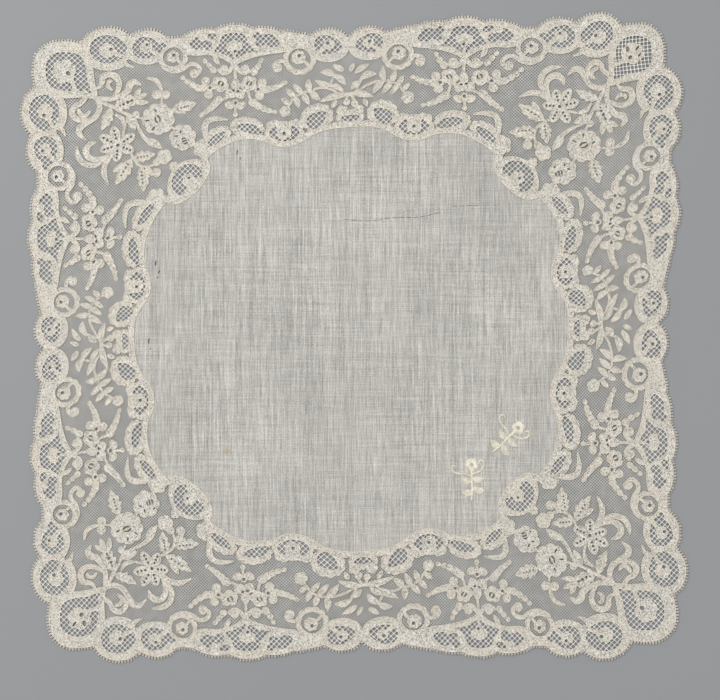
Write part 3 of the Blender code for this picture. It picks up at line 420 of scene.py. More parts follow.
# inner band, half a side
SEAM = ((0, 147.2), (14, 146.4), (23.5, 143.2), (30.5, 138.8), (36.5, 135.8), (43, 134.8), (49.5, 135.9),
        (56, 138.6), (66, 140.0), (76, 138.6), (86, 134.2), (93, 129.6), (97.6, 124.9), (96.4, 120.6),
        (96.2, 116.4), (99.1, 110.4), (104.1, 104.1))
SEAM_COVER = 1.2
SEAM_STRIP = 2.6
INNER_PLATES = (
    Blossom(21.6, 153.4, 10.8, 11, 0.86, -20),
    Blossom(35.4, 147.4, 5.2, 5),
    Oval(42.7, 142.4, 26.4, 14.8),
    Blossom(49.4, 146.6, 5.6, 5),
    Blossom(68.0, 146.6, 12.2, 11, 0.6, 6),
    Blossom(89.4, 138.8, 11.4, 10, 0.62, -36),
    Blossom(99.4, 131.6, 6.6, 6),
    Band([(97.2, 139.6), (97.8, 146.4), (95.4, 151.0), (89.4, 152.6), (81.6, 151.8)],
         [3.4, 3.8, 3.4, 2.8, 0.6]),
)
INNER_WINDOWS = (
    Oval(21.4, 152.2, 15.0, 10.2, -42, -0.35), Oval(42.7, 143.2, 20.6, 12.2),
    Oval(67.0, 145.2, 19.2, 7.0, 12, 0.2, 0.8), Oval(89.8, 138.2, 16.6, 6.2, -38),
)
INNER_FLORETS = (Blossom(42.9, 143.6, 5.0, 6), Oval(43.0, 148.4, 10.6, 5.6))
INNER_EYE = Bud(42.6, 143.0, 1.1)
MIDDLE_PLATE = Oval(0, 152.6, 18.0, 10.4)
MIDDLE_BALLS = (Blossom(-5.4, 157.2, 3.6, 5), Blossom(5.4, 157.2, 3.6, 5))
MIDDLE_WINDOW = Oval(0, 152.8, 12.0, 5.2, 0, 0.0, -1.0)

# bean-shaped window, from its own middle, with out along the diagonal
BEAN_PLATE = Oval(0, -2.2, 34.0, 18.0, 0, 0.0, 4.6)
BEAN_POINT = Leaf(0, 8.0, 0, 16.4, 7.0)
BEAN_WINDOW = ((-12.0, -1.5), (-10.4, 4.6), (-5.6, 8.4), (0, 9.6), (5.6, 8.4), (10.4, 3.8), (11.4, -2.5),
               (8.6, -6.6), (5.0, -4.6), (0, -4.0), (-5.0, -4.6), (-9.2, -5.8))
BEAN_LOBES = (Blossom(0.2, -1.4, 4.4, 5, 1.0, 54), Oval(0, -6.0, 8.6, 7.0))
BEAN_EYE = Bud(1.4, -0.6, 0.9)

# two embroidered sprigs on the linen: middle in the drawing's frame, and turn
SPRIGS = (Sprig(78.7, -100.2, 20.0), Sprig(104.6, -73.2, -25.0))
SPRIG_BANDS = (
    Band([(-7.5, -11.5), (-4.0, -5.0), (-1.4, 2.0), (1.6, 8.4)], [1.2, 1.6, 1.8, 1.6]),
    Band([(-1.0, 3.4), (-5.4, 6.6), (-9.8, 8.4), (-12.6, 11.8), (-10.6, 14.6), (-8.0, 12.6)],
         [0.8, 1.1, 1.4, 1.5, 1.3, 0.8]),
    Band([(0.0, 4.6), (4.8, 4.4), (9.2, 5.8), (11.4, 9.2), (9.4, 11.6), (7.4, 9.6)],
         [0.8, 1.1, 1.4, 1.5, 1.3, 0.8]),
)
SPRIG_LEAVES = (
    Leaf(-4.6, -6.4, -12.8, -4.6, 4.4, 0.8), Leaf(-3.6, -4.4, 4.8, -9.2, 4.4, -0.8),
    Leaf(-1.9, 0.2, -9.6, 4.6, 4.0, 0.8), Leaf(-1.2, 1.8, 7.4, -1.2, 4.0, -0.8),
)
SPRIG_BLOSSOM = Blossom(2.4, 10.6, 4.6, 5)

# worn holes, and the slits where a thread is drawn out of the linen, in real millimetres
WORN = (
    Oval(-134.6, 50.5, 3.4, 1.1, 82, 0.2, 0.2), Oval(-132.4, 44.6, 2.4, 0.9, 64),
    Oval(-133.6, 40.8, 1.5, 0.8, 100), Oval(-139.2, -2.4, 4.2, 0.9, 86, 0.2, 0.2),
    Oval(-138.4, -7.6, 1.6, 0.7, 70), Oval(-79.2, 125.8, 4.0, 0.9, 84, 0.0, 0.2),
    Oval(-77.2, 121.6, 1.8, 0.8, 60), Oval(-108.2, 104.6, 4.4, 0.7, 8, 0.0, 0.2),
)
DRAWN_THREADS = (((-7.6, 80.6), (2.0, 79.4), (12.2, 79.2), (25.2, 81.3), (44.4, 81.9), (58.3, 85.0)),
                 ((66.0, 89.3), (76.0, 89.4), (85.0, 89.9)))
SLIT = 5.6              # length and width of the slits along them
SLIT_WIDTH = 0.36
SLIT_SHARE = 0.86

STAIN = (-87.0, -77.0, 3.4)     # a faint brown spot: where it lies, and its reach
STAIN_COLOUR = srgb(176, 150, 112)

NET_FILL = ((-150, 206), (-77, 208), (0, 205), (77, 208), (150, 206), (184, 200))

# groups of points of a side's drawing, and where each lies in the real cloth from side 0 to side 3
LANDMARKS = ((
    Landmark(CORNER, CORNER, ((188.8, 192.6), (197.4, -185.1), (-187.1, -189.8), (-196.5, 181.7))),
), (
    Landmark(BEAN, BEAN, ((111.5, 109.9), (112.3, -107.8), (-113.0, -110.2), (-113.8, 108.3))),
), (
    Landmark(-162.5, 204.7, ((-166.9, 195.7), (206.7, 166.9), (169.3, -202.3), (-203.6, -162.4))),
    Landmark(-76.8, 202.8, ((-81.9, 198.0), (205.1, 83.4), (85.0, -200.7), (-204.3, -79.8))),
    Landmark(0.0, 202.0, ((-3.9, 199.6), (201.3, 10.1), (5.2, -201.1), (-205.8, -7.2))),
    Landmark(76.8, 202.8, ((74.9, 202.8), (202.8, -71.1), (-73.2, -203.0), (-205.8, 67.7))),
    Landmark(162.5, 204.7, ((165.4, 205.1), (209.8, -156.9), (-160.6, -203.9), (-210.5, 152.8))),
), (
    Landmark(-42.7, 142.4, ((-47.9, 138.6), (142.7, 45.0), (50.7, -138.2), (-145.0, -42.3))),
    Landmark(0.0, 152.2, ((-2.7, 149.6), (151.4, 6.9), (6.1, -151.5), (-156.0, -1.9))),
    Landmark(42.7, 142.4, ((40.5, 143.4), (141.8, -37.6), (-42.0, -142.2), (-147.4, 35.0))),
))

# layers of noise in the linen: grains of wide by deep millimetres, and each layer's share
LINEN_LAYERS = {
    "grain": Layer(0.62, 0.8, 0.0, 0.24),
    "fine_down": Layer(0.42, 13, 1.0, 0.48),
    "long_down": Layer(0.6, 46, 1.0, 0.26),
    "slub_down": Layer(1.5, 90, 1.0, 0.16),
    "broad_down": Layer(7, 150, 2.0, 0.14),
    "fine_across": Layer(26, 0.45, 0.0, 0.18),
    "slub_across": Layer(60, 1.6, 2.0, 0.08),
    "cloudy": Layer(60, 60, 2.0, 0.12),
}
LINEN_SPREAD = (0.48, 1.18)     # the densities between which the linen turns from thin to close
LINEN_SHADES = (0.46, 1.24)
LINEN_SHEER = (0.78, 0.25)      # how opaque it is where thinnest, and how much more where closest
STAIN_SPREAD = (1.3, 0.5)
STAIN_STRENGTH = 0.45
# painted shade: this dark brown stands for the shade seen through the pinholes of the cloth work
PINHOLE_SHADE_COLOUR = (0.28, 0.25, 0.20)
WARM_COLOUR = (0.72, 0.63, 0.48)


# the drawing

def turned(points, degrees):
    """Points turned anticlockwise about the origin."""
    angle = math.radians(degrees)
    cos, sin = math.cos(angle), math.sin(angle)
    return np.asarray(points, float) @ np.array([[cos, sin], [-sin, cos]])


def smooth(route, closed=False, sample=SAMPLE):
    """A Catmull-Rom curve through a route, sampled evenly."""
    points = np.asarray(route, float)
    if closed:
        ring = np.vstack([points[-1], points, points[:2]])
    else:
        ring = np.vstack([2 * points[0] - points[1], points, 2 * points[-1] - points[-2]])
    curve = []
    for before, start, end, after in zip(ring, ring[1:], ring[2:], ring[3:]):
        count = max(2, math.ceil(np.linalg.norm(end - start) / sample))
        t = np.arange(count)[:, None] / count
        curve.append(start + 0.5 * ((end - before) * t
                                    + (2 * before - 5 * start + 4 * end - after) * t ** 2
                                    + (3 * start - before - 3 * end + after) * t ** 3))
    curve = np.vstack(curve)
    return curve if closed else np.vstack([curve, points[-1]])


def oval(row):
    """An oval, tapered along its length and bowed across it."""
    count = max(FEWEST_POINTS, round((row.length + row.width) * GIRTH / SAMPLE))
    angle = 2 * math.pi * np.arange(count) / count
    along, across = np.cos(angle), np.sin(angle)
    across = across * (1 - row.taper * along) * row.width / 2 + row.bow * (1 - along ** 2)
    return turned(np.column_stack([along * row.length / 2, across]), row.turn) + (row.along, row.out)


def scallops(angle, petals, depth):
    """How far a scalloped edge lies out at each angle, as a share of its radius."""
    return 1 - depth * (1 - np.abs(np.sin(petals * angle / 2)) ** PETAL_FULLNESS)


def blossom(row):
    """A round flower with a scalloped edge."""
    count = row.petals * max(PETAL_POINTS, round(2 * math.pi * row.radius / row.petals / SAMPLE))
    angle = 2 * math.pi * np.arange(count) / count
    depth = min(PETAL_DEPTH, PETAL_CUT * math.pi / row.petals)
    radius = row.radius * scallops(angle, row.petals, depth)
    points = np.column_stack([radius * np.cos(angle), radius * np.sin(angle) * row.squash])
    return turned(points, row.turn) + (row.along, row.out)


def leaf(row):
    """A leaf from its foot to its tip."""
    foot, tip = np.array([row.along, row.out]), np.array([row.tip_along, row.tip_out])
    length = np.linalg.norm(tip - foot)
    side = np.array([foot[1] - tip[1], tip[0] - foot[0]]) / length
    t = np.linspace(0, 1, max(LEAF_POINTS, round(length / SAMPLE)))
    half = row.width / 2 * np.sin(math.pi * t ** LEAF_LEAN) ** LEAF_FULLNESS + LEAF_FOOT * (1 - t)
    if row.width > LOBED_FROM:
        half *= 1 + LOBE_DEPTH * ((LEAF_LOBES * t) % 1 - LOBE_SHARE)
    middle = foot + np.outer(t, tip - foot) + np.outer(np.sin(math.pi * t) * row.bend, side)
    left, right = middle + side * half[:, None], middle - side * half[:, None]
    return np.vstack([left[:-1], tip, right[-2::-1]])


def travel_along(line):
    """How far each point of a line lies from its start, along the line."""
    return np.concatenate([[0], np.cumsum(np.linalg.norm(np.diff(line, axis=0), axis=1))])


def band(row):
    """A flat band along a smooth route, with a width at each point of the route."""
    line = smooth(row.route)
    travelled = travel_along(line)
    keys = [travelled[np.argmin(np.linalg.norm(line - point, axis=1))] for point in row.route]
    half = np.interp(travelled, keys, row.widths) / 2
    heading = np.gradient(line, axis=0)
    heading /= np.linalg.norm(heading, axis=1)[:, None]
    side = np.column_stack([-heading[:, 1], heading[:, 0]]) * half[:, None]
    end = [line[-1] + heading[-1] * half[-1]] if row.widths[-1] > POINTED else []
    start = [line[0] - heading[0] * half[0]] if row.widths[0] > POINTED else []
    return np.array([*(line + side), *end, *(line - side)[::-1], *start])


def bud(row):
    """A round bud."""
    return oval(Oval(row.along, row.out, 2 * row.radius, 2 * row.radius))


def chain(row):
    """Overlapping beads that taper along a line."""
    foot, tip = np.array([row.along, row.out]), np.array([row.end_along, row.end_out])
    along = tip - foot
    turn = math.degrees(math.atan2(along[1], along[0]))
    side = np.array([-along[1], along[0]]) / np.linalg.norm(along)
    loops = []
    for t in np.linspace(0, 1, row.count):
        middle = foot + along * t + side * row.bend * math.sin(math.pi * t)
        radius = row.first + (row.last - row.first) * t
        loops.append(oval(Oval(*middle, BEAD[0] * radius, BEAD[1] * radius, turn)))
    return loops


DRAW = {Oval: oval, Blossom: blossom, Leaf: leaf, Band: band, Bud: bud}


def drawn(level, rows, origin=(0.0, 0.0)):
    """The loops of some rows, each with the level that it is painted at."""
    loops = []
    for row in rows:
        made = chain(row) if isinstance(row, Chain) else [DRAW[type(row)](row)]
        loops += [(level, loop + np.asarray(origin)) for loop in made]
    return loops


def placed(loops, side, mirrored=False):
    """Loops drawn in a side's frame, moved to one of the four sides."""
    flip = (-1, 1) if mirrored else (1, 1)
    return [(level, turned(loop * flip, -RIGHT_ANGLE * side)) for level, loop in loops]


def both_halves(loops, side):
    """Loops drawn for half a side, and the same loops mirrored for its other half."""
    return placed(loops, side) + placed(loops, side, mirrored=True)


def signed_area(loop):
    """Positive for a loop that runs anticlockwise."""
    x, y = loop[:, 0], loop[:, 1]
    return 0.5 * float(np.sum(x * np.roll(y, -1) - y * np.roll(x, -1)))


def anticlockwise(loop):
    """The loop, turned round if it runs clockwise."""
    return loop if signed_area(loop) > 0 else loop[::-1]


def grown(loop, distance):
    """The loop with its points moved to its right, which is outwards if it runs anticlockwise."""
    along = np.roll(loop, -1, axis=0) - loop
    along /= np.linalg.norm(along, axis=1)[:, None]
    right = np.column_stack([along[:, 1], -along[:, 0]])
    corner = right + np.roll(right, 1, axis=0)
    reach = np.maximum((corner ** 2).sum(axis=1) / 2, BLUNTEST)
    return loop + distance * corner / reach[:, None]


def seam_loop(distance=0.0):
    """The sewn edge of the linen all round, grown by a distance."""
    half = np.array(SEAM, float)
    quarter = np.vstack([half, half[-2:0:-1, ::-1]])
    loop = smooth(np.vstack([turned(quarter, -RIGHT_ANGLE * side) for side in range(SIDES)]), closed=True)
    return grown(loop[::-1], distance)


def row_of(holes, foot, tip):
    """Small round holes in a row from a leaf's foot towards its tip."""
    foot, tip = np.array(foot), np.array(tip)
    return [Bud(*(foot + (tip - foot) * t), holes.radius)
            for t in np.linspace(holes.first, holes.last, holes.count)]


def edge_band(side):
    """The plates, windows and florets along a side, and the corner at its right end."""
    half = drawn(PLATE, EDGE_PLATES + EDGE_BANDS + EDGE_RINGS) + drawn(WINDOW, EDGE_WINDOWS)
    half.append((WINDOW, smooth(SHIELD, closed=True) + SHIELD_MIDDLE))
    half += drawn(NETTED, RING_WINDOWS) + drawn(FLORET, EDGE_FLORETS + EDGE_STEMS)
    half += drawn(EYELET, EDGE_EYES)
    corner = [(PLATE, smooth(CARTOUCHE_PLATE, closed=True) + CORNER),
              (SQUARED if side == 0 else WINDOW, smooth(CARTOUCHE, closed=True) + CORNER)]
    corner += drawn(FLORET, (CARTOUCHE_STEM, CARTOUCHE_FLORET), (CORNER, CORNER))
    corner += drawn(EYELET, CARTOUCHE_EYES[:CARTOUCHE_HOLES[side]], (CORNER, CORNER))
    return both_halves(half, side) + placed(corner, side)


def inner_band(side):
    """The band over the seam along a side, and the bean-shaped window at its right end."""
    half = drawn(PLATE, INNER_PLATES) + drawn(WINDOW, INNER_WINDOWS)
    half += drawn(FLORET, INNER_FLORETS) + drawn(EYELET, (INNER_EYE,))
    middle = drawn(PLATE, (MIDDLE_PLATE, *MIDDLE_BALLS)) + drawn(WINDOW, (MIDDLE_WINDOW,))
    bean = drawn(PLATE, (BEAN_PLATE, BEAN_POINT)) + [(WINDOW, smooth(BEAN_WINDOW[::-1], closed=True))]
    bean += drawn(FLORET, BEAN_LOBES) + drawn(EYELET, (BEAN_EYE,))
    bean = [(level, turned(loop, -RIGHT_ANGLE / 2) + BEAN) for level, loop in bean]
    return both_halves(half, side) + placed(middle + bean, side)


def star_petals():
    """The middle and the petals of the star flower, widest towards their tips."""
    petals = [Leaf(STAR[0] + along, STAR[1] + out, *STAR, STAR_PETAL) for along, out in STAR_TIPS]
    return (Bud(*STAR, STAR_MIDDLE), *petals)


def corner_spray(side):
    """The spray with the rose and the star flower."""
    rows = CORNER_BANDS + CORNER_LEAVES + CORNER_BUDS + CORNER_BLOSSOMS + star_petals()
    eyes = [*CORNER_EYES, Bud(*STAR, STAR_EYE)]
    for along, out in STAR_TIPS:
        eyes += row_of(PETAL_HOLES, STAR, (STAR[0] + along, STAR[1] + out))
    for row in CORNER_LEAVES[:VEINED]:
        eyes += row_of(VEIN_HOLES, row[:2], row[2:4])
    middle = (CORNER, CORNER)
    return placed(drawn(PLATE, rows, middle) + drawn(EYELET, eyes, middle)
                  + drawn(KNOT, CORNER_KNOTS, middle), side)


def bouquets(side):
    """The two bouquets of a side, each hanging from the point of a shield window."""
    rows = BOUQUET_BANDS + BOUQUET_BLOSSOMS + BOUQUET_LEAVES + BOUQUET_BUDS + BOUQUET_CHAINS
    return both_halves(drawn(PLATE, rows, BOUQUET_ROOT) + drawn(EYELET, BOUQUET_EYES, BOUQUET_ROOT)
                       + drawn(KNOT, BOUQUET_KNOTS, BOUQUET_ROOT), side)


def side_spray(side):
    """The spreading spray in the middle of a side."""
    rows = SPRAY_BANDS + SPRAY_LEAVES + SPRAY_BUDS + SPRAY_BLOSSOMS
    return placed(drawn(PLATE, rows, SPRAY_ROOT), side)


def triangulate(loops, loose=()):
    """The plane cut along the loops: its points, its triangles, and the loops that hold each triangle."""
    points, faces = [], []
    for loop in loops:
        faces.append(list(range(len(points), len(points) + len(loop))))
        points += [Vector(point) for point in anticlockwise(loop)]
    points += [Vector(point) for point in loose]
    points, _, triangles, _, _, held = delaunay_2d_cdt(points, [], faces, 1, MERGE)
    return np.array([point[:] for point in points]), triangles, held


def rims(triangles):
    """The closed rims of some triangles, each with the triangles on its left."""
    edges = {(a, b) for tri in triangles for a, b in zip(tri, (*tri[1:], tri[0]))}
    onward = {}
    for a, b in sorted(edges):
        if (b, a) not in edges:
            onward.setdefault(a, []).append(b)
    loops = []
    while onward:
        here = min(onward)
        loop = []
        while here in onward:
            loop.append(here)
            ahead = onward[here].pop()
            if not onward[here]:
                del onward[here]
            here = ahead
        loops.append(loop)
    return loops


def simplified(loop):
    """The loop with as few points as its tolerance allows."""
    far = int(np.argmax(np.linalg.norm(loop - loop[0], axis=1)))
    keep = {0, far}
    spans = [(0, far), (far, len(loop))]
    while spans:
        first, last = spans.pop()
        start, end = loop[first], loop[last % len(loop)]
        inside = loop[first + 1:last]
        if len(inside) == 0:
            continue
        across = (end - start) / max(np.linalg.norm(end - start), MERGE)
        away = np.abs((inside - start) @ np.array([-across[1], across[0]]))
        if away.max() > TOLERANCE:
            middle = first + 1 + int(np.argmax(away))
            keep.add(middle)
            spans += [(first, middle), (middle, last)]
    loop = loop[sorted(keep)]
    return loop[np.linalg.norm(loop - np.roll(loop, 1, axis=0), axis=1) > SHORTEST]


def region(loops):
    """The outlines of what is left when the loops are painted in the order of their levels."""
    loops = sorted(loops, key=lambda shape: shape[0])
    points, triangles, held = triangulate([loop for _, loop in loops])
    solid = [tri for tri, inside in zip(triangles, held) if inside and loops[max(inside)][0] in CLOTH_WORK]
    outlines = [simplified(points[rim]) for rim in rims(solid)]
    return [loop for loop in outlines if len(loop) > 2 and abs(signed_area(loop)) > SMALLEST]


class Lie:
    """A thin-plate spline from the drawing to where the real cloth lies."""

    def __init__(self, groups):
        known = [(mark, side) for marks in groups for side in range(SIDES) for mark in marks]
        self.drawing = np.vstack([turned([(mark.along, mark.out)], -RIGHT_ANGLE * side) for mark, side in known])
        real = np.array([mark.places[side] for mark, side in known])
        count = len(known)
        flat = np.hstack([np.ones((count, 1)), self.drawing])
        system = np.block([[self.pull(self.drawing) + SLACK * np.eye(count), flat],
                           [flat.T, np.zeros((3, 3))]])
        self.weights = np.linalg.solve(system, np.vstack([real, np.zeros((3, 2))]))
        self.middle = np.zeros(2)

    def pull(self, points):
        """How much each landmark counts at each point."""
        distance = np.linalg.norm(points[:, None] - self.drawing[None], axis=2)
        return distance ** 2 * np.log(np.maximum(distance, MERGE))

    def __call__(self, points):
        """Where points of the drawing lie on the real cloth."""
        points = np.asarray(points, float)
        flat = np.hstack([np.ones((len(points), 1)), points])
        return self.pull(points) @ self.weights[:-3] + flat @ self.weights[-3:] - self.middle


def lie_on_frame():
    """The spline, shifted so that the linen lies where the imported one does."""
    lie = Lie(LANDMARKS)
    low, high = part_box("linen_centre")
    seam = lie(seam_loop())
    packed = np.array([low.x + high.x, low.y + high.y]) / 2 / MM
    lie.middle = (seam.min(axis=0) + seam.max(axis=0)) / 2 - packed
    return lie


LIE = lie_on_frame()


def slits(route):
    """A row of narrow slits along a route."""
    line = smooth(route, sample=SLIT)
    rows = []
    for start, end in zip(line, line[1:]):
        run, climb = end - start
        turn = math.degrees(math.atan2(climb, run))
        rows.append(Oval(*(start + end) / 2, SLIT_SHARE * math.hypot(run, climb), SLIT_WIDTH, turn))
    return rows


def drawn_from(points):
    """Where real places lie in the drawing."""
    real = np.asarray(points, float)
    guess = real.copy()
    for _ in range(SETTLES):
        guess += real - LIE(guess)
    return guess


def rise(points, unevenness):
    """How high the slightly uneven cloth lies at each real place, in millimetres."""
    x, y = points.T
    # long and short waves that cross at odd angles, so that nothing repeats
    wave = (np.sin(x / 23 + 1.3 * np.sin(y / 41)) * np.sin(y / 29 + 0.7)
            + 0.5 * np.sin(x / 9.5 + y / 13 + 2.0) * np.sin(y / 11 - x / 17))
    rim = np.clip((np.abs(points / RIM).max(axis=1) - RIM_FROM) / (1 - RIM_FROM), 0, 1)
    lift = rim ** 2 * np.clip(0.5 + x / 260 - y / 700, 0, 1)
    return unevenness * (1 + WAVE_LIFT * wave + RIM_LIFT * lift)


# what shows where

class Cover:
    """What shows at each spot of the drawing, on a fine grid."""

    def __init__(self, loops):
        self.across = round(2 * REACH / CELL)
        self.shown = np.full((self.across, self.across), OUTSIDE, np.int8)
        for level in range(KNOT + 1):
            rings = [anticlockwise(loop) for at, loop in loops if at == level]
            if rings:
                self.shown[self.inside(rings)] = level

    def inside(self, rings):
        """The cells that lie in any of some anticlockwise rings."""
        start = (np.vstack(rings) + REACH) / CELL - 0.5
        end = (np.vstack([np.roll(ring, -1, axis=0) for ring in rings]) + REACH) / CELL - 0.5
        low = np.ceil(np.minimum(start[:, 1], end[:, 1])).astype(int)
        count = np.ceil(np.maximum(start[:, 1], end[:, 1])).astype(int) - low
        edge = np.repeat(np.arange(len(start)), count)
        row = low[edge] + np.arange(len(edge)) - np.repeat(np.cumsum(count) - count, count)
        slope = (end[edge, 0] - start[edge, 0]) / (end[edge, 1] - start[edge, 1])
        column = np.ceil(start[edge, 0] + (row - start[edge, 1]) * slope).astype(int)
        turns = np.zeros((self.across, self.across), np.int16)
        np.add.at(turns, (row, column), np.where(end[edge, 1] < start[edge, 1], 1, -1))
        return np.cumsum(turns, axis=1) > 0

    def __call__(self, points):
        """The levels that show at some points."""
        cell = np.clip(((points + REACH) / CELL).astype(int), 0, self.across - 1)
        return self.shown[cell[:, 1], cell[:, 0]]


def net_ground():
    """The net: everything under the edge band and inside it."""
    fill = np.vstack([turned(np.array(NET_FILL, float), -RIGHT_ANGLE * side) for side in range(SIDES)])
    return [(NET, smooth(fill[::-1], closed=True)), (LINEN, seam_loop())]


def all_round(draw):
    """The loops that a function draws for one side, for all four sides."""
    return [loop for side in range(SIDES) for loop in draw(side)]


def inner_loops():
    """The band over the seam: a plain strip all round, and the scalloped plates on it."""
    return [(PLATE, seam_loop(SEAM_STRIP)), (SEWN, seam_loop(-SEAM_COVER)), *all_round(inner_band)]


def runs(cover, levels, pitch, heading, tuck):
    """Straight threads side by side, cut to where some levels show, and tucked in a little at both ends."""
    along, across = turned(np.eye(2), heading)
    diagonal = REACH * math.sqrt(2)
    travel = np.arange(-diagonal, diagonal, CELL)
    found = []
    for offset in np.arange(-diagonal, diagonal, pitch):
        line = across * offset + travel[:, None] * along
        seen = np.isin(cover(line), levels)
        change = np.flatnonzero(np.diff(np.concatenate([[False], seen, [False]]).astype(int)))
        for first, last in change.reshape(-1, 2):
            if (last - first) * CELL > SHORTEST_RUN:
                found.append((line[first] - along * tuck, line[last - 1] + along * tuck))
    return found


def wander(points):
    """A little sideways drift, as threads have."""
    x, y = points[:, 0], points[:, 1]
    return DRIFT * np.column_stack([np.sin(x / 2.9 + 2.1 * np.sin(y / 6.1)) + np.sin(y / 4.3 + x / 11),
                                    np.sin(y / 3.1 + 1.7 * np.sin(x / 5.3)) + np.sin(x / 3.7 - y / 9)])


def pieces_of(found, longest):
    """Thread ends turned into lines with a point at least every so often."""
    lines = []
    for start, end in found:
        count = max(1, math.ceil(np.linalg.norm(end - start) / longest))
        lines.append(start + np.linspace(0, 1, count + 1)[:, None] * (end - start))
    return lines


def crossings(pitch):
    """Where threads of that pitch cross, with along and across measured in the threads' own directions."""
    diagonal = REACH * math.sqrt(2)
    offsets = np.arange(-diagonal, diagonal, pitch)
    return np.array(np.meshgrid(-offsets, offsets)).reshape(2, -1).T


def cloth_work_parts():
    """The groups of close parts: a name, the loops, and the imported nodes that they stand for."""
    sides = range(SIDES)
    return (
        ("edge_band", all_round(edge_band), ["edge_band"]),
        ("inner_band", inner_loops(), ["inner_band"]),
        ("corner_sprays", all_round(corner_spray), [f"corner_spray_{side}" for side in sides]),
        ("bouquets", all_round(bouquets),
         [f"bouquet_{hand}_{side}" for hand in ("right", "left") for side in sides]),
        ("side_sprays", all_round(side_spray), [f"side_spray_{side}" for side in sides]),
    )


def satin(row):
    """The stitches across an embroidered shape, side by side."""
    if isinstance(row, Blossom):
        turns = np.arange(round(2 * math.pi * row.radius / SATIN_PITCH)) / (row.radius / SATIN_PITCH)
        heading = np.column_stack([np.cos(turns), np.sin(turns)])
        far = scallops(turns, row.petals, SATIN_NOTCH)
        middle = np.array([row.along, row.out])
        ends = zip(middle + heading * row.radius * SATIN_EYE, middle + heading * row.radius * far[:, None])
    else:
        outline = DRAW[type(row)](row)
        half = len(outline) // 2
        left, right = outline[:half], outline[::-1][:half]
        travelled = travel_along((left + right) / 2)
        spots = np.arange(0, travelled[-1], SATIN_PITCH)
        sides = [np.column_stack([np.interp(spots, travelled, edge[:, axis]) for axis in (0, 1)])
                 for edge in (left, right)]
        ends = zip(*sides)
    t = np.linspace(0, 1, SATIN_POINTS)[:, None]
    return [start + (end - start) * t for start, end in ends if np.linalg.norm(end - start) > SHORTEST]


# the meshes

def laid(points, above, unevenness):
    """Points of the drawing as they lie on the real cloth, in metres."""
    flat = LIE(points)
    return np.column_stack([flat, rise(flat, unevenness) + above]) * MM


def new_piece(name, points, edges=(), faces=()):
    """A new object in the scene, with its place in its mesh."""
    mesh = bpy.data.meshes.new(name)
    mesh.from_pydata([tuple(point) for point in points], [tuple(edge) for edge in edges],
                     [tuple(face) for face in faces])
    mesh.update()
    piece = bpy.data.objects.new(name, mesh)
    bpy.context.scene.collection.objects.link(piece)
    return piece


def new_lines(name, lines, closed, above, sizes):
    """An object whose edges follow lines of the drawing, at one height or at one for each line."""
    heights = above if hasattr(above, "__len__") else [above] * len(lines)
    points = np.vstack(lines)
    lift = np.concatenate([np.broadcast_to(height, len(line)) for line, height in zip(lines, heights)])
    edges, first = [], 0
    for line in lines:
        last = first + len(line)
        edges += [(index, index + 1) for index in range(first, last - 1)]
        if closed:
            edges.append((last - 1, first))
        first = last
    return new_piece(name, laid(points, lift, sizes.unevenness / MM), edges)


def new_cloth(name, outlines, above, grid, sizes, holes=()):
    """One layer of cloth inside some outlines, with a grid of points so that it follows the unevenness."""
    reach = np.arange(-REACH, REACH, grid)
    x, y = np.meshgrid(reach, reach)
    loose = np.column_stack([(x + (np.arange(len(reach)) % 2)[:, None] * grid / 2).ravel(), y.ravel()])
    cover = Cover([(PLATE, anticlockwise(loop)) for loop in outlines if signed_area(loop) > 0])
    loose = loose[cover(loose) == PLATE]
    points, triangles, held = triangulate([*outlines, *holes], loose)
    solid = [tri for tri, inside in zip(triangles, held) if len(inside) % 2]
    used = sorted({index for tri in solid for index in tri})
    place = {index: spot for spot, index in enumerate(used)}
    faces = [[place[index] for index in tri] for tri in solid]
    piece = new_piece(name, laid(points[used], above, sizes.unevenness / MM), faces=faces)
    piece.data.shade_smooth()
    return piece


def dress(piece, slot, material, *nodes):
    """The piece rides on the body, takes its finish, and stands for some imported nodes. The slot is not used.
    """
    piece.data.materials.clear()
    piece.data.materials.append(material)
    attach(piece, BODY)
    if nodes:
        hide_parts(*nodes)
    return piece


# what repeats

class Nodes:
    """A node tree that is built node by node."""

    def node(self, kind, settings=None, inputs=None, output=0):
        """A node with some settings and with values or links in its sockets; returns one of its outputs."""
        made = self.tree.nodes.new(kind)
        for title, value in (settings or {}).items():
            setattr(made, title, value)
        for title, value in (inputs or {}).items():
            self.plug(made.inputs[title], value)
        return made.outputs[output]

    def plug(self, socket, value):
        """Links a socket, or sets its value."""
        value = value.socket if isinstance(value, Amount) else value
        if isinstance(value, bpy.types.NodeSocket):
            self.tree.links.new(value, socket)
        else:
            socket.default_value = value


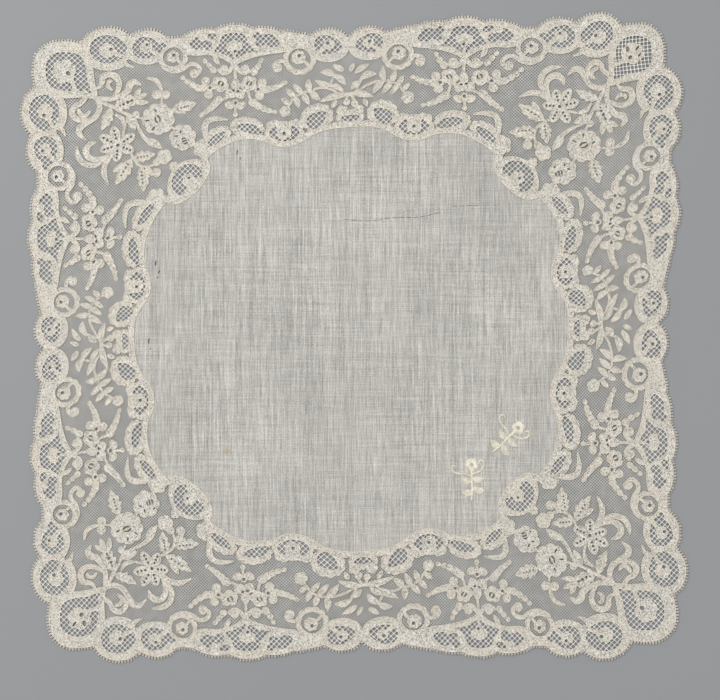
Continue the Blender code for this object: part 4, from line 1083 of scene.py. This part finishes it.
class Growth(Nodes):
    """A Geometry Nodes tree, built node by node, that ends in real geometry with a material."""

    def __init__(self, name, material, **sizes):
        self.tree = bpy.data.node_groups.new(name, "GeometryNodeTree")
        self.tree.interface.new_socket("Geometry", in_out="INPUT", socket_type="NodeSocketGeometry")
        self.tree.interface.new_socket("Geometry", in_out="OUTPUT", socket_type="NodeSocketGeometry")
        for title in sizes:
            self.tree.interface.new_socket(title, in_out="INPUT", socket_type="NodeSocketFloat")
        self.sizes = sizes
        self.material = material
        self.given = self.tree.nodes.new("NodeGroupInput").outputs

    def line(self):
        """The piece's own edges as a curve."""
        return self.node("GeometryNodeMeshToCurve", inputs={"Mesh": self.given["Geometry"]})

    def times(self, title, factor):
        """One of the sizes, times a factor."""
        return self.node("ShaderNodeMath", {"operation": "MULTIPLY"}, {0: self.given[title], 1: factor})

    def tube(self, curve, radius, sides, caps=False):
        """A round body along a curve."""
        upright = self.node("GeometryNodeSetCurveNormal", {"mode": "Z_UP"}, {"Curve": curve})
        ring = self.node("GeometryNodeCurvePrimitiveCircle", inputs={"Resolution": sides, "Radius": radius})
        return self.node("GeometryNodeCurveToMesh",
                         inputs={"Curve": upright, "Profile Curve": ring, "Fill Caps": caps})

    def copies(self, points, instance, sizes, seed, **more):
        """Copies of an instance at some points, each of a random size from a fixed seed."""
        size = self.node("FunctionNodeRandomValue", {"data_type": "FLOAT"},
                         {2: sizes[0], 3: sizes[1], "Seed": seed}, output=1)
        return self.node("GeometryNodeInstanceOnPoints",
                         inputs={"Points": points, "Instance": instance, "Scale": size, **more})

    def outward_row(self, instance, sizes, seed):
        """Copies of an instance, a spacing apart along an anticlockwise line, with Y outwards."""
        even = self.node("GeometryNodeResampleCurve", {"mode": "LENGTH"},
                         {"Curve": self.line(), "Length": self.given["Spacing"]})
        tangent = self.node("GeometryNodeInputTangent")
        out = self.node("ShaderNodeVectorMath", {"operation": "CROSS_PRODUCT"}, {0: tangent, 1: (0, 0, 1)})
        heading = self.node("FunctionNodeAlignRotationToVector", {"axis": "Y", "pivot_axis": "Z"},
                            {"Vector": out})
        return self.copies(even, instance, sizes, seed, Rotation=heading)

    def settle(self, piece, geometry):
        """Runs the tree on the piece and leaves a plain mesh there."""
        real = self.node("GeometryNodeRealizeInstances", inputs={"Geometry": geometry})
        painted = self.node("GeometryNodeSetMaterial", inputs={"Geometry": real, "Material": self.material})
        last = self.tree.nodes.new("NodeGroupOutput")
        self.tree.links.new(painted, last.inputs["Geometry"])
        modifier = piece.modifiers.new("growth", "NODES")
        modifier.node_group = self.tree
        for socket in self.tree.interface.items_tree:
            if socket.in_out == "INPUT" and socket.name in self.sizes:
                modifier[socket.identifier] = float(self.sizes[socket.name])
        lines = piece.data
        evaluated = piece.evaluated_get(bpy.context.evaluated_depsgraph_get())
        piece.data = bpy.data.meshes.new_from_object(evaluated)
        piece.modifiers.remove(modifier)
        bpy.data.meshes.remove(lines)
        if not piece.data.polygons:
            raise RuntimeError(f"{piece.name} came out empty")
        piece.data.shade_smooth()
        return piece


def as_threads(piece, material, thickness, sides, caps=False):
    """Gives every line of the piece a round body."""
    growth = Growth("threads", material, Thickness=thickness)
    return growth.settle(piece, growth.tube(growth.line(), growth.times("Thickness", 0.5), sides, caps))


# the finishes

class Amount:
    """A number that changes over a surface: arithmetic with it adds Math nodes."""

    def __init__(self, finish, socket):
        self.finish, self.socket = finish, socket

    def worked(self, operation, other):
        """What one Math node makes of this number and another."""
        return Amount(self.finish, self.finish.node("ShaderNodeMath", {"operation": operation},
                                                    {0: self, 1: other}))

    def __add__(self, other):
        return self.worked("ADD", other)

    def __mul__(self, other):
        return self.worked("MULTIPLY", other)

    __radd__ = __add__
    __rmul__ = __mul__

    def spread(self, low, high):
        """0 below low, 1 above high, and smooth in between."""
        return Amount(self.finish, self.finish.node(
            "ShaderNodeMapRange", {"interpolation_type": "SMOOTHSTEP"},
            {"Value": self, "From Min": low, "From Max": high}))


class Finish(Nodes):
    """A material on the Principled shader, built node by node."""

    def __init__(self, name):
        self.material = bpy.data.materials.new(name)
        self.material.use_nodes = True
        self.tree = self.material.node_tree
        self.tree.nodes.clear()
        self.shader = self.tree.nodes.new("ShaderNodeBsdfPrincipled")
        output = self.tree.nodes.new("ShaderNodeOutputMaterial")
        self.tree.links.new(self.shader.outputs[0], output.inputs[0])
        self.place = self.node("ShaderNodeTexCoord", output="Object")

    def set(self, **sockets):
        """Sets or links the shader's own sockets, with _ for a space in a name."""
        for title, value in sockets.items():
            self.plug(self.shader.inputs[title.replace("_", " ")], value)

    def scaled(self, x, y, z):
        """The place on the object, measured in steps of x, y and z millimetres."""
        steps = [1 / (step * MM) for step in (x, y, z)]
        return self.node("ShaderNodeVectorMath", {"operation": "MULTIPLY"}, {0: self.place, 1: steps})

    def noise(self, x, y, z=1.0, detail=2.0):
        """Soft noise with grains of x by y by z millimetres."""
        vector = self.scaled(x, y, z)
        return Amount(self, self.node("ShaderNodeTexNoise",
                                      inputs={"Vector": vector, "Scale": 1.0, "Detail": detail}))

    def cells(self, step):
        """The distance to the middle of the nearest of some scattered cells."""
        return Amount(self, self.node("ShaderNodeTexVoronoi",
                                      inputs={"Vector": self.scaled(step, step, step), "Scale": 1.0}))

    def distance(self, x, y, reach):
        """How far each place lies from a spot, in steps of some millimetres."""
        middle = [place * MM for place in (x, y, 0.0)]
        away = self.node("ShaderNodeVectorMath", {"operation": "DISTANCE"},
                         {0: self.place, 1: middle}, output=1)
        return Amount(self, away) * (1 / (reach * MM))

    def blend(self, amount, first, second):
        """A colour between two colours."""
        return self.node("ShaderNodeMix", {"data_type": "RGBA"}, {0: amount, 6: first, 7: second}, output=2)

    def relief(self, height, depth):
        """A bump of some millimetres."""
        return self.node("ShaderNodeBump", inputs={"Height": height, "Distance": depth * MM, "Strength": 1.0})


def opaque(colour, factor=1.0):
    """A colour, lighter or darker by a factor, with nothing seen through it."""
    return (*(channel * factor for channel in colour), 1.0)


def linen_finish(colour):
    """Sheer, slubby plain weave: fine streaks down the cloth, fainter ones across, and grainy all over."""
    finish = Finish("sheer_linen")
    noise = {name: finish.noise(layer.wide, layer.deep, detail=layer.detail)
             for name, layer in LINEN_LAYERS.items()}
    density = sum(noise[name] * layer.share for name, layer in LINEN_LAYERS.items())
    close = density.spread(*LINEN_SPREAD)
    stained = (finish.distance(*STAIN) + noise["grain"] * 0.5).spread(*STAIN_SPREAD)
    thin, thick = (opaque(colour, shade) for shade in LINEN_SHADES)
    cloth = finish.blend(close, thin, thick)
    finish.set(Base_Color=finish.blend(stained * STAIN_STRENGTH, cloth, opaque(STAIN_COLOUR)), Roughness=0.86,
               Alpha=close * LINEN_SHEER[1] + LINEN_SHEER[0], Sheen_Weight=0.2, Sheen_Roughness=0.5,
               Normal=finish.relief(noise["fine_down"] + noise["fine_across"], 0.10))
    return finish.material


def cloth_work_finish(colour):
    """Closely worked threads, mottled, with painted shade: dark brown in tiny pinholes."""
    finish = Finish("worked_cloth")
    mottle = finish.noise(0.8, 0.8, 0.8, detail=1.0).spread(0.36, 0.62)
    soft = finish.noise(5, 5, 5).spread(0.3, 0.7)
    pinholes = finish.cells(1.7).spread(0.13, 0.36)
    grain = finish.noise(0.5, 0.5, 0.5)
    patch = finish.noise(34, 34, 34).spread(0.35, 0.65)
    base = finish.blend(mottle * 0.78 + soft * 0.22, opaque(colour, 0.52), opaque(colour, 1.12))
    # painted shade: dark brown at the middle of each cell stands for the shade in the pinholes
    pinhole_shaded = finish.blend(pinholes, opaque(PINHOLE_SHADE_COLOUR), base)
    warm = finish.blend(patch * 0.22, pinhole_shaded, opaque(WARM_COLOUR))
    finish.set(Base_Color=warm, Roughness=0.88, Sheen_Weight=0.15,
               Normal=finish.relief(grain * 0.5 + mottle * 0.7 + pinholes, 0.22))
    return finish.material


def thread_finish(name, colour, spot):
    """Plain spun thread, a little uneven in colour."""
    finish = Finish(name)
    uneven = finish.noise(spot, spot, spot, detail=3.0).spread(0.3, 0.7)
    twist = finish.noise(0.18, 0.18, 0.6, detail=1.0)
    finish.set(Base_Color=finish.blend(uneven, opaque(colour, 0.82), opaque(colour, 1.06)), Roughness=0.82,
               Sheen_Weight=0.2, Normal=finish.relief(twist, 0.05))
    return finish.material


def floor_finish(colour):
    """Smooth board with the faintest mottle."""
    finish = Finish("pale_floor")
    cloudy = finish.noise(180, 180, 180, detail=3.0)
    grain = finish.noise(1.5, 1.5, 1.5)
    finish.set(Base_Color=finish.blend(cloudy, opaque(colour, 0.98), opaque(colour, 1.02)), Roughness=0.9,
               Normal=finish.relief(grain, 0.02))
    return finish.material


def finish_named(name, maker, *values):
    """The material of that name, made once."""
    return bpy.data.materials.get(name) or maker(*values)


def cord_material(context):
    """Thread for the cords, picots and seam stitches."""
    colour = context.scene.handkerchief_colours.cords
    return finish_named("raised_cord", thread_finish, "raised_cord", colour, 3.0)


def net_material(context):
    """Thread for the net and for the mesh in the windows."""
    colour = context.scene.handkerchief_colours.net
    return finish_named("ground_net", thread_finish, "ground_net", colour, 6.0)


# the settings

class HandkerchiefSizes(bpy.types.PropertyGroup):
    """The sizes that a user would change."""
    net_pitch: FloatProperty(name="Net pitch", description="Distance between the threads of the ground net",
                             default=0.00145, unit="LENGTH")
    net_thread: FloatProperty(name="Net thread", description="Thickness of the ground net's threads",
                              default=0.00038, unit="LENGTH")
    window_pitch: FloatProperty(name="Window pitch", description="Distance between the windows' threads",
                                default=0.0026, unit="LENGTH")
    window_thread: FloatProperty(name="Window thread", description="Thickness of the threads in the windows",
                                 default=0.00054, unit="LENGTH")
    cord: FloatProperty(name="Cord", description="Thickness of the cords round the cloth work",
                        default=0.00055, unit="LENGTH")
    picot_spacing: FloatProperty(name="Picot spacing", description="Distance between the loops of the rim",
                                 default=0.0020, unit="LENGTH")
    picot_length: FloatProperty(name="Picot length", description="How far the loops of the rim stand out",
                                default=0.0019, unit="LENGTH")
    picot_thread: FloatProperty(name="Picot thread", description="Thickness of the loops' thread",
                                default=0.00056, unit="LENGTH")
    unevenness: FloatProperty(name="Unevenness", description="How far the cloth lies off its ground",
                              default=0.00032, unit="LENGTH")


class HandkerchiefColours(bpy.types.PropertyGroup):
    """The colours that a user would change."""
    linen: FloatVectorProperty(name="Linen", description="Colour of the sheer middle", subtype="COLOR",
                               default=srgb(206, 203, 196), min=0.0, max=1.0)
    cloth_work: FloatVectorProperty(name="Cloth work", description="Colour of the close parts of the lace",
                                    subtype="COLOR", default=srgb(229, 224, 214), min=0.0, max=1.0)
    cords: FloatVectorProperty(name="Cords", description="Colour of the raised cords", subtype="COLOR",
                               default=srgb(244, 235, 217), min=0.0, max=1.0)
    net: FloatVectorProperty(name="Net", description="Colour of the ground net", subtype="COLOR",
                             default=srgb(236, 233, 225), min=0.0, max=1.0)
    embroidery: FloatVectorProperty(name="Embroidery", description="Colour of the embroidered sprigs",
                                    subtype="COLOR", default=srgb(252, 246, 229), min=0.0, max=1.0)
    floor: FloatVectorProperty(name="Floor", description="Colour of the floor", subtype="COLOR",
                               default=srgb(150, 151, 153), min=0.0, max=1.0)


# the pieces

class HANDKERCHIEF_OT_linen(bpy.types.Operator):
    """Lays the sheer linen middle, with its worn holes and its drawn thread"""
    bl_idname = "handkerchief.linen"
    bl_label = "Linen"

    def execute(self, context):
        sizes = context.scene.handkerchief_sizes
        worn = [drawn_from(oval(row)) for row in WORN]
        slit = [drawn_from(oval(row)) for route in DRAWN_THREADS for row in slits(route)]
        piece = new_cloth("linen_centre_cloth", [seam_loop()], LINEN_HEIGHT, LINEN_GRID, sizes, worn + slit)
        material = finish_named("sheer_linen", linen_finish, context.scene.handkerchief_colours.linen)
        dress(piece, "linen", material, "linen_centre")
        return {"FINISHED"}


class HANDKERCHIEF_OT_net(bpy.types.Operator):
    """Strings the fine ground net between the linen and the edge"""
    bl_idname = "handkerchief.net"
    bl_label = "Ground net"

    def execute(self, context):
        sizes = context.scene.handkerchief_sizes
        cover = Cover(net_ground() + [loop for _, loops, _ in cloth_work_parts() for loop in loops])
        material = net_material(context)
        parts, heights = ([[] for _ in range(SIDES)] for _ in range(2))
        for heading, height in zip(NET_HEADINGS, NET_HEIGHTS):
            found = runs(cover, (NET, NETTED), sizes.net_pitch / MM, heading, NET_TUCK)
            for line in pieces_of(found, NET_STEP):
                x, y = line.mean(axis=0)
                side = (1 if x > 0 else 3) if abs(x) > abs(y) else (0 if y > 0 else 2)
                parts[side].append(line + wander(line))
                heights[side].append(height)
        for side, (lines, above) in enumerate(zip(parts, heights)):
            piece = new_lines(f"lace_ground_{side}", lines, False, above, sizes)
            as_threads(piece, material, sizes.net_thread, THIN_SIDES)
            dress(piece, "net", material, "lace_ground")
        return {"FINISHED"}


class HANDKERCHIEF_OT_windows(bpy.types.Operator):
    """Fills the windows with their open knotted mesh"""
    bl_idname = "handkerchief.windows"
    bl_label = "Window mesh"

    def execute(self, context):
        sizes = context.scene.handkerchief_sizes
        cover = Cover(all_round(edge_band) + inner_loops() + net_ground()[1:])
        material = net_material(context)
        pitch = sizes.window_pitch / MM
        lines, heights, knots = [], [], []
        for level, headings in WINDOW_HEADINGS:
            for heading, height in zip(headings, WINDOW_HEIGHTS):
                found = pieces_of(runs(cover, (level,), pitch, heading, WINDOW_TUCK), WINDOW_STEP)
                lines += found
                heights += [height] * len(found)
            spots = turned(crossings(pitch), headings[0])
            knots.append(spots[cover(spots) == level])
        mesh = new_lines("window_mesh", [line + wander(line) for line in lines], False, heights, sizes)
        as_threads(mesh, material, sizes.window_thread, WINDOW_SIDES)
        dress(mesh, "net", material)
        knots = np.vstack(knots)
        height = sum(WINDOW_HEIGHTS) / len(WINDOW_HEIGHTS)
        piece = new_piece("window_knots", laid(knots + wander(knots), height, sizes.unevenness / MM))
        growth = Growth("knots", material, Size=sizes.window_thread)
        ball = growth.node("GeometryNodeMeshIcoSphere", inputs={"Radius": growth.given["Size"]})
        knot = growth.node("GeometryNodeTransform", inputs={"Geometry": ball, "Scale": KNOT_SHAPE})
        growth.settle(piece, growth.copies(growth.given["Geometry"], knot, KNOT_SIZES, KNOT_SEED))
        dress(piece, "net", material)
        return {"FINISHED"}


class HANDKERCHIEF_OT_cloth_work(bpy.types.Operator):
    """Works the close parts of the lace: the edge, the inner band, the sprays and the bouquets"""
    bl_idname = "handkerchief.cloth_work"
    bl_label = "Cloth work"

    def execute(self, context):
        sizes = context.scene.handkerchief_sizes
        colour = context.scene.handkerchief_colours.cloth_work
        material = finish_named("worked_cloth", cloth_work_finish, colour)
        for name, loops, nodes in cloth_work_parts():
            piece = new_cloth(f"{name}_cloth", region(loops), WORK_HEIGHT, WORK_GRID, sizes)
            dress(piece, "cloth_work", material, *nodes)
        return {"FINISHED"}


class HANDKERCHIEF_OT_cords(bpy.types.Operator):
    """Runs a raised cord round every close part"""
    bl_idname = "handkerchief.cords"
    bl_label = "Cords"

    def execute(self, context):
        sizes = context.scene.handkerchief_sizes
        material = cord_material(context)
        for name, loops, _ in cloth_work_parts():
            lines = [loop for loop in region(loops) if abs(signed_area(loop)) > SMALLEST_CORDED]
            piece = new_lines(f"{name}_cords", lines, True, CORD_HEIGHT, sizes)
            as_threads(piece, material, sizes.cord, THIN_SIDES)
            dress(piece, "cloth_work", material)
        return {"FINISHED"}


class HANDKERCHIEF_OT_picots(bpy.types.Operator):
    """Sets the little loops all round the rim"""
    bl_idname = "handkerchief.picots"
    bl_label = "Picots"

    def execute(self, context):
        sizes = context.scene.handkerchief_sizes
        material = cord_material(context)
        rim = max(region(all_round(edge_band)), key=signed_area)
        piece = new_lines("rim_picots", [rim], True, PICOT_HEIGHT, sizes)
        growth = Growth("picots", material, Spacing=sizes.picot_spacing, Length=sizes.picot_length,
                        Thread=sizes.picot_thread)
        arc = growth.node("GeometryNodeCurveArc", {"mode": "RADIUS"},
                          {"Resolution": PICOT_POINTS, "Radius": 1.0, "Start Angle": 0.0,
                           "Sweep Angle": math.pi})
        wide = growth.times("Spacing", PICOT_WIDTH)
        shape = growth.node("ShaderNodeCombineXYZ",
                            inputs={"X": wide, "Y": growth.given["Length"], "Z": 1.0})
        loop = growth.node("GeometryNodeTransform", inputs={"Geometry": arc, "Scale": shape})
        picot = growth.tube(loop, growth.times("Thread", 0.5), THIN_SIDES)
        growth.settle(piece, growth.outward_row(picot, PICOT_SIZES, PICOT_SEED))
        dress(piece, "cloth_work", material)
        return {"FINISHED"}


class HANDKERCHIEF_OT_seam(bpy.types.Operator):
    """Oversews the edge of the linen to the lace"""
    bl_idname = "handkerchief.seam"
    bl_label = "Seam stitches"

    def execute(self, context):
        sizes = context.scene.handkerchief_sizes
        material = cord_material(context)
        line = anticlockwise(seam_loop(-SEAM_COVER))
        piece = new_lines("seam_stitches", [line], True, STITCH_HEIGHT, sizes)
        growth = Growth("stitches", material, Spacing=SEAM_SPACING * MM, Length=SEAM_STITCH * MM,
                        Thread=SEAM_THREAD * MM)
        far = growth.node("ShaderNodeCombineXYZ", inputs={"Y": growth.given["Length"]})
        near = growth.node("ShaderNodeVectorMath", {"operation": "SCALE"}, {0: far, "Scale": -1.0})
        stroke = growth.node("GeometryNodeCurvePrimitiveLine", inputs={"Start": near, "End": far})
        stitch = growth.tube(stroke, growth.given["Thread"], THIN_SIDES, True)
        growth.settle(piece, growth.outward_row(stitch, STITCH_SIZES, STITCH_SEED))
        dress(piece, "cloth_work", material)
        return {"FINISHED"}


class HANDKERCHIEF_OT_embroidery(bpy.types.Operator):
    """Embroiders the two small sprigs in satin stitch"""
    bl_idname = "handkerchief.embroidery"
    bl_label = "Embroidered sprigs"

    def execute(self, context):
        sizes = context.scene.handkerchief_sizes
        material = finish_named("satin_thread", thread_finish, "satin_thread",
                                context.scene.handkerchief_colours.embroidery, 2.0)
        for number, row in enumerate(SPRIGS):
            lines, heights = [], []
            for shape in (*SPRIG_BANDS, *SPRIG_LEAVES, SPRIG_BLOSSOM):
                for line in satin(shape):
                    lines.append(turned(line, row.turn) + (row.x, row.y))
                    heights.append(SATIN_HEIGHT + SATIN_RISE * np.sin(np.linspace(0, math.pi, len(line))))
            piece = new_lines(f"sprig_{number}_stitches", lines, False, heights, sizes)
            as_threads(piece, material, SATIN_THREAD * MM, THIN_SIDES, True)
            dress(piece, "embroidery", material, f"sprig_{number}")
        return {"FINISHED"}


class HANDKERCHIEF_OT_stage(bpy.types.Operator):
    """Sets the floor, the soft light and the camera over the cloth"""
    bl_idname = "handkerchief.stage"
    bl_label = "Stage"

    def execute(self, context):
        scene = context.scene
        half = FLOOR_SIZE / 2
        corners = [(-half, -half), (half, -half), (half, half), (-half, half)]
        floor = new_piece("floor", [(x, y, FLOOR_LEVEL) for x, y in corners], faces=[(0, 1, 2, 3)])
        material = finish_named("pale_floor", floor_finish, scene.handkerchief_colours.floor)
        floor.data.materials.append(material)
        floor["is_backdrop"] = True
        for name, place, size, power in LAMPS:
            light = bpy.data.lights.new(name, "AREA")
            light.shape, light.size, light.energy = "DISK", size, power
            lamp = bpy.data.objects.new(name, light)
            lamp.location = place
            lamp.rotation_euler = (-Vector(place)).to_track_quat("-Z", "Y").to_euler()
            scene.collection.objects.link(lamp)
        world = bpy.data.worlds.new("room")
        world.use_nodes = True
        background = world.node_tree.nodes["Background"]
        background.inputs["Color"].default_value = WHITE
        background.inputs["Strength"].default_value = ROOM_LIGHT
        scene.world = world
        scene.view_settings.view_transform = "Standard"
        lens = bpy.data.cameras.new("overhead")
        lens.lens, lens.sensor_width = LENS, SENSOR
        camera = bpy.data.objects.new("overhead", lens)
        camera.location = (*AIM, VIEW_WIDTH * LENS / SENSOR)
        scene.collection.objects.link(camera)
        scene.camera = camera
        return {"FINISHED"}


class HANDKERCHIEF_OT_declare(bpy.types.Operator):
    bl_idname = "handkerchief.declare"
    bl_label = "Declare the cloth"

    def execute(self, context):
        linen = bpy.data.objects["linen_centre_cloth"]
        lace = [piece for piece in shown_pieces() if piece != linen]
        flat = LIE(seam_loop())
        width, length = (flat.max(axis=0) - flat.min(axis=0)) * MM
        abs(signed_area(flat)) * MM ** 2
        return {"FINISHED"}


class HANDKERCHIEF_PT_pieces(bpy.types.Panel):
    """The pieces of the handkerchief, with their sizes and colours"""
    bl_label = "Handkerchief"
    bl_idname = "HANDKERCHIEF_PT_pieces"
    bl_space_type = "VIEW_3D"
    bl_region_type = "UI"
    bl_category = "Handkerchief"

    def draw(self, context):
        """Lists the settings, and a button for each operator."""
        for group in (context.scene.handkerchief_sizes, context.scene.handkerchief_colours):
            column = self.layout.column()
            for title in group.bl_rna.properties.keys():
                if title not in ("rna_type", "name"):
                    column.prop(group, title)
        for operator in OPERATORS:
            self.layout.operator(operator.bl_idname)


OPERATORS = (HANDKERCHIEF_OT_stage, HANDKERCHIEF_OT_linen, HANDKERCHIEF_OT_net, HANDKERCHIEF_OT_windows,
             HANDKERCHIEF_OT_cloth_work, HANDKERCHIEF_OT_cords, HANDKERCHIEF_OT_picots,
             HANDKERCHIEF_OT_seam, HANDKERCHIEF_OT_embroidery, HANDKERCHIEF_OT_declare)
CLASSES = (HandkerchiefSizes, HandkerchiefColours, *OPERATORS, HANDKERCHIEF_PT_pieces)


def register():
    """Registers the classes and hangs the settings on the scene."""
    for made in CLASSES:
        bpy.utils.register_class(made)
    bpy.types.Scene.handkerchief_sizes = PointerProperty(type=HandkerchiefSizes)
    bpy.types.Scene.handkerchief_colours = PointerProperty(type=HandkerchiefColours)


def unregister():
    """Takes away what register added."""
    del bpy.types.Scene.handkerchief_colours
    del bpy.types.Scene.handkerchief_sizes
    for made in reversed(CLASSES):
        bpy.utils.unregister_class(made)


def main():
    """Builds the stage and every piece."""
    register()
    bpy.ops.handkerchief.stage()
    bpy.ops.handkerchief.linen()
    bpy.ops.handkerchief.net()
    bpy.ops.handkerchief.windows()
    bpy.ops.handkerchief.cloth_work()
    bpy.ops.handkerchief.cords()
    bpy.ops.handkerchief.picots()
    bpy.ops.handkerchief.seam()
    bpy.ops.handkerchief.embroidery()
    bpy.ops.handkerchief.declare()


if __name__ == "__main__":
    main()
